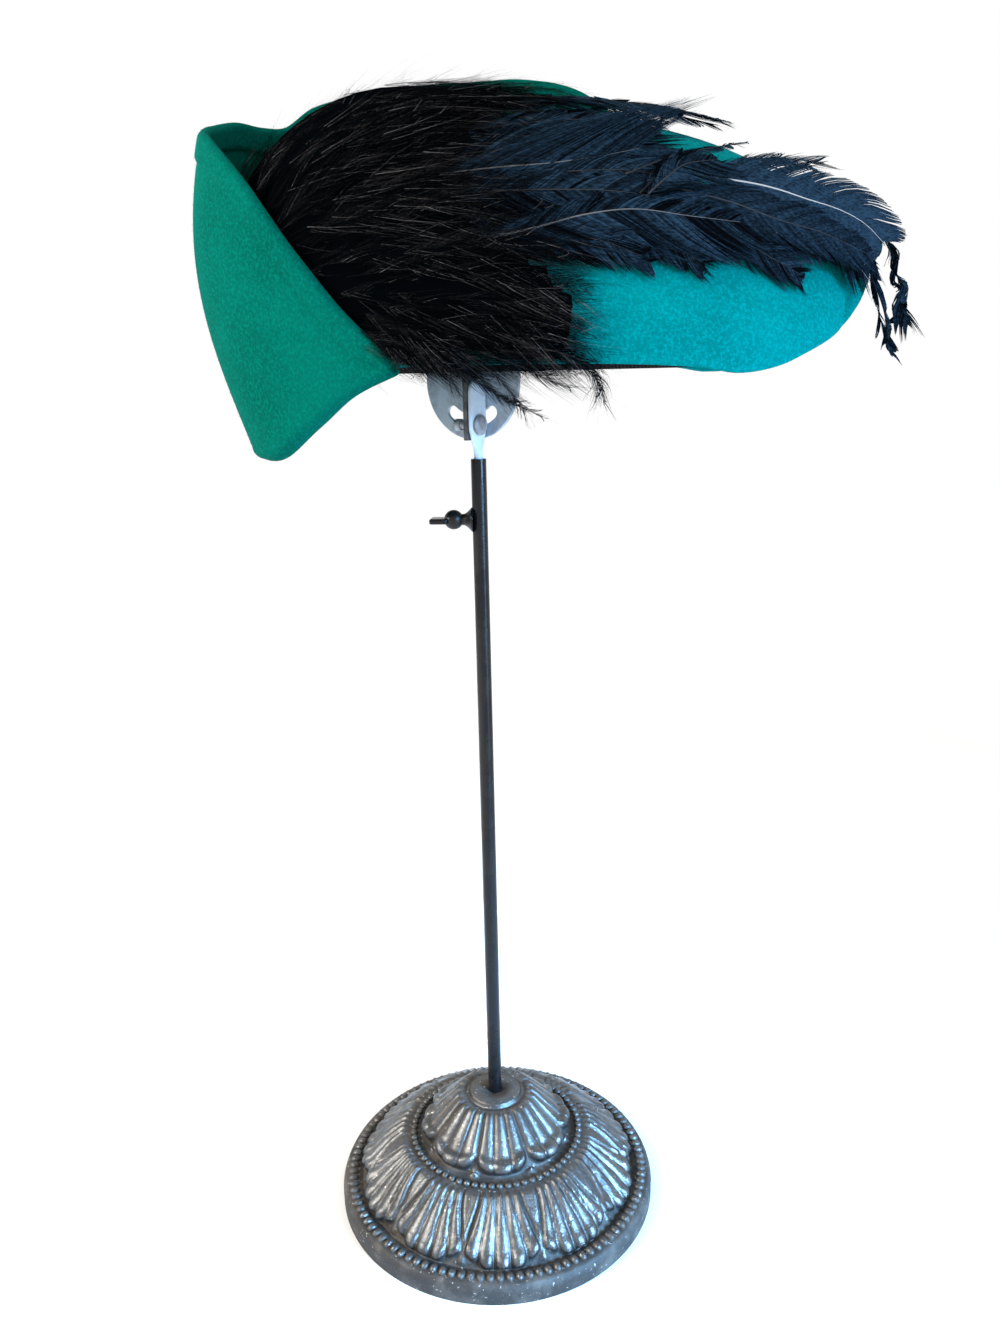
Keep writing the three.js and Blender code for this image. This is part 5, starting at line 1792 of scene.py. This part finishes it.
def box_piece(name, size, bevel, matrix):
    """A box with rounded edges, its sizes in millimetres."""
    work = bmesh.new()
    bmesh.ops.create_cube(work, size=1.0, matrix=Matrix.Diagonal((*[s * MM for s in size], 1.0)))
    bmesh.ops.bevel(work, geom=work.edges, offset=bevel * MM, segments=3, affect="EDGES", profile=0.5)
    bmesh.ops.transform(work, matrix=matrix, verts=work.verts)
    mesh = bpy.data.meshes.new(name)
    work.to_mesh(mesh)
    work.free()
    shade_smooth(mesh)
    return link_piece(name, mesh)


def head_axes(stand):
    """Matrix of the stand's head: X ahead of the plate, Y aside and Z up, from the tube's top."""
    head_turn = 240.0
    turn = Matrix.Rotation(math.radians(head_turn), 4, "Z")
    return Matrix.Translation((0, 0, stand.tube_top)) @ turn


# Sections of the sliding rod, in millimetres: height over the tube's top, half width, half thickness, and
# the power that makes the round section square.
PADDLE_SECTIONS = (
    (-110, 1.85, 1.85, 1),
    (1.9, 1.85, 1.85, 1),
    (4.0, 2.5, 1.3, 0.9),
    (6.4, 3.75, 0.85, 0.6),
    (11.8, 5.35, 0.8, 0.4),
    (26.7, 5.35, 0.8, 0.4),
    (29.4, 4.5, 0.8, 0.4),
    (31.2, 2.6, 0.8, 0.4),
    (31.7, 0.6, 0.7, 0.5),
)

# Outline of the rivet in millimetres: distance from its axis, and distance along it.
RIVET_FACE = 1.1
RIVET = (
    *((0.0, -11.0), (2.4, -11.0), (2.4, -8.0), (1.6, -8.0), (1.6, RIVET_FACE), (4.2, RIVET_FACE)),
    *((4.2, RIVET_FACE + 0.8), (2.8, RIVET_FACE + 1.6), (0.0, RIVET_FACE + 1.7)),
)


class HAT_OT_head(BuildPiece, bpy.types.Operator):
    """Builds the paddle of the sliding rod, the slotted plate with its rib, and the rivet"""

    bl_idname = "hat.head"
    bl_label = "Paddle, Plate and Rivet"

    def execute(self, context):
        stand, colours = context.scene.hat_stand, context.scene.hat_colours
        zinc_tint, rust_tint = colours.zinc, colours.rust
        zinc = metal_material("Zinc", zinc_tint, [c * 0.62 for c in zinc_tint], 0.35, 0.3, scale=110.0)
        # The paddle has the plate's zinc made brighter and bluer: painted light and sky-blue reflection on
        # its lit face.
        lit_tint, lit_stain = [c * 1.5 for c in zinc_tint], [c * 1.2 for c in zinc_tint]
        bright = metal_material("Lit zinc", lit_tint, lit_stain, 0.55, 0.1)
        rust = metal_material("Rust", rust_tint, (0.36, 0.4, 0.45), 0.45, 0.3, scale=150.0)
        # The rib is drawn nearly black, with a little rust colour: painted shade on its side face, which
        # shows beside the paddle.
        shaded_rib_tint = [z * 0.12 + r * 0.35 for z, r in zip(zinc_tint, rust_tint)]
        dark = metal_material("Shaded rib", shaded_rib_tint, [t * 0.4 for t in shaded_rib_tint], 0.4, 0.3, scale=120.0)
        axes = head_axes(stand)
        # The paddle takes the lighter zinc, with its painted light.
        finish_piece(paddle_piece(axes), bright, "zinc_steel", "slide_rod")
        finish_piece(plate_piece(stand, axes), zinc, "zinc_steel", "hat_plate")
        rib_size, rib_bevel = (11.1, 2.2, 42.4), 0.35
        rib_place = axes @ Matrix.Translation((-0.2 * MM, -2.25 * MM, 28.8 * MM))
        finish_piece(box_piece("plate_rib", rib_size, rib_bevel, rib_place), dark, "zinc_steel")
        points, faces = turned(rounded(np.array(RIVET) * MM, 0.5 * MM), 40)
        rivet_level = 13.6 * MM
        aside = axes @ Matrix.Translation((0, 0, rivet_level)) @ Matrix.Rotation(-math.pi / 2, 4, "X")
        finish_piece(new_mesh("rivet_pin", moved(points, aside), faces), rust, "rusty_steel", "rivet")
        return {"FINISHED"}


def paddle_piece(axes):
    """The sliding rod, round below and flattened to a paddle above."""
    turn = full_turn(48)
    c, s = np.cos(turn), np.sin(turn)
    rings = []
    for level, wide, thin, power in PADDLE_SECTIONS:
        ahead = wide * np.sign(c) * np.abs(c) ** power
        aside = thin * np.sign(s) * np.abs(s) ** power
        rings.append(np.column_stack([ahead, aside, np.full(len(turn), level)]) * MM)
    tops = [np.repeat(rings[k].mean(0)[None], len(turn), 0) for k in (0, -1)]
    grid = np.stack([tops[0], *rings, tops[1]], 1)
    faces = grid_faces(*grid.shape[:2], True)
    paddle = new_mesh("slide_paddle", moved(grid.reshape(-1, 3), axes), faces)
    paddle.data.set_sharp_from_angle(angle=math.radians(40))
    return paddle


def slot_outline(inner, outer, half_angle, margin):
    """Outline of a curved slot with round ends, in the lower half of the plate."""
    middle, half = (inner + outer) / 2, (outer - inner) / 2 + margin
    down = -math.pi / 2
    outline = []
    for way, reach in ((1, half), (-1, -half)):
        for angle in np.linspace(-half_angle * way, half_angle * way, 30):
            place = down + angle
            outline.append(((middle + reach) * math.cos(place), (middle + reach) * math.sin(place)))
        centre_angle = down + half_angle * way
        centre = np.array([math.cos(centre_angle), math.sin(centre_angle)]) * middle
        for turn in np.linspace(0, math.pi, 14)[1:-1]:
            cap = centre_angle + (0 if way > 0 else math.pi) + turn
            outline.append(tuple(centre + half * np.array([math.cos(cap), math.sin(cap)])))
    return np.array(outline)


def plate_piece(stand, axes):
    """The round plate with its curved slot, cut in a flat curve that is given depth."""
    bevel = 0.25 * MM
    curve = bpy.data.curves.new("plate", "CURVE")
    curve.dimensions = "2D"
    curve.fill_mode = "BOTH"
    curve.extrude = 0.55 * MM
    curve.bevel_depth = bevel
    curve.bevel_resolution = 2
    disc = full_turn(120)
    edge = stand.plate_diameter / 2 - bevel
    rim = np.column_stack([edge * np.cos(disc), edge * np.sin(disc)])
    for outline in (rim, slot_outline(13.5 * MM, 18.8 * MM, math.radians(38.5), bevel)):
        spline = curve.splines.new("POLY")
        spline.points.add(len(outline) - 1)
        flat = np.column_stack([outline, np.zeros(len(outline)), np.ones(len(outline))])
        spline.points.foreach_set("co", flat.astype(np.float32).ravel())
        spline.use_cyclic_u = True
    holder = link_piece("plate_curve", curve)
    bpy.context.view_layer.update()
    mesh = bpy.data.meshes.new_from_object(holder.evaluated_get(bpy.context.evaluated_depsgraph_get()))
    bpy.data.objects.remove(holder)
    ahead, aside, up = -6.5 * MM, -7 * MM, 31 * MM
    stand_up = Matrix(((0, 0, 1, ahead), (1, 0, 0, aside), (0, 1, 0, up), (0, 0, 0, 1)))
    mesh.transform(axes @ stand_up)
    return link_piece("plate_sheet", mesh)


class HAT_OT_stage(BuildPiece, bpy.types.Operator):
    """Builds the floor, the lights, the world and the camera"""

    bl_idname = "hat.stage"
    bl_label = "Stage"

    def execute(self, context):
        scene = context.scene
        stage = scene.hat_stage
        half = stage.floor_size / 2
        corners = [(-half, -half, 0), (half, -half, 0), (half, half, 0), (-half, half, 0)]
        floor = new_mesh("floor", np.array(corners), np.array([[0, 1, 2, 3]]), smooth=False, clean=False)
        finish, tree, shader = new_material("Floor", Roughness=0.85)
        vector = object_vector(tree)
        away = add_node(tree, "ShaderNodeVectorMath", {"operation": "LENGTH"}, {0: vector}).outputs["Value"]
        clouded = compute(tree, "ADD", away, noise(tree, vector, 2.0))
        faded = ramp(tree, clouded, 0.6, 2.2)
        # The floor is drawn grey near the stand and white far off, which paints the far floor as bright as
        # the white world so that no horizon line shows.
        near, far = (0.72, 0.72, 0.72, 1.0), (1.0, 1.0, 1.0, 1.0)
        tree.links.new(mix_colour(tree, faded, near, far), shader.inputs["Base Color"])
        floor.data.materials.append(finish)
        world = bpy.data.worlds.new("Studio")
        scene.world = world
        world.use_nodes = True
        world.node_tree.nodes["Background"].inputs[0].default_value = (1.0, 1.0, 1.0, 1.0)
        world.node_tree.nodes["Background"].inputs[1].default_value = stage.world_light
        # Each lamp's place, size, power in watts, tint, the height that it points at, and its spread.
        lamps = (
            ("key_light", (-1.2, -0.55, 1.0), (0.7, 0.7), stage.key_light, (1.0, 0.94, 0.86), 0.3, 180),
            ("cool_light", (0.9, -0.6, 0.45), (0.35, 0.35), stage.cool_light, (0.22, 0.55, 1.0), 0.02, 36),
            ("strip_light", (0.75, -0.46, 0.25), (0.16, 1), stage.strip_light, (0.7, 0.85, 1.0), 0.25, 180),
        )
        for name, place, size, power, tint, aim_height, spread in lamps:
            lamp = bpy.data.lights.new(name, "AREA")
            lamp.shape = "RECTANGLE"
            lamp.size, lamp.size_y = size
            lamp.energy = power
            lamp.color = tint
            lamp.spread = math.radians(spread)
            lamp_object = link_piece(name, lamp)
            lamp_object.location = place
            aim = Vector((0.02, 0, aim_height)) - Vector(place)
            lamp_object.rotation_euler = aim.to_track_quat("-Z", "Y").to_euler()
        camera = bpy.data.cameras.new("photo_camera")
        camera.sensor_width = SENSOR
        camera.lens = stage.focal / PHOTO_HEIGHT * SENSOR
        camera_object = link_piece("photo_camera", camera)
        camera_object.matrix_world = Matrix.Translation(stage.camera_place) @ camera_turn(stage)
        scene.camera = camera_object
        scene.view_settings.view_transform = "Standard"
        return {"FINISHED"}


class HAT_PT_panel(bpy.types.Panel):
    """Lists the build steps in the sidebar"""

    bl_idname = "HAT_PT_panel"
    bl_label = "Feather Hat"
    bl_space_type = "VIEW_3D"
    bl_region_type = "UI"
    bl_category = "Feather Hat"

    def draw(self, context):
        for operator in OPERATORS:
            self.layout.operator(operator.bl_idname)


OPERATORS = (
    HAT_OT_stage,
    HAT_OT_crown,
    HAT_OT_brim,
    HAT_OT_ribbon,
    HAT_OT_soft_feathers,
    HAT_OT_long_feathers,
    HAT_OT_loose_ends,
    HAT_OT_base,
    HAT_OT_tube,
    HAT_OT_head,
)
GROUPS = {
    "hat_sizes": HatSizes,
    "hat_feathers": FeatherSizes,
    "hat_stand": StandSizes,
    "hat_colours": HatColours,
    "hat_stage": StageSizes,
}


def register():
    """Registers the classes and the scene's properties."""
    for group in GROUPS.values():
        bpy.utils.register_class(group)
    for name, group in GROUPS.items():
        setattr(bpy.types.Scene, name, PointerProperty(type=group))
    for operator in (*OPERATORS, HAT_PT_panel):
        bpy.utils.register_class(operator)


def unregister():
    """Takes the classes and the scene's properties away."""
    for operator in reversed((*OPERATORS, HAT_PT_panel)):
        bpy.utils.unregister_class(operator)
    for name, group in GROUPS.items():
        delattr(bpy.types.Scene, name)
        bpy.utils.unregister_class(group)


def main():
    """Builds everything in order."""
    register()
    for operator in OPERATORS:
        group, name = operator.bl_idname.split(".")
        getattr(getattr(bpy.ops, group), name)()


if __name__ == "__main__":
    main()
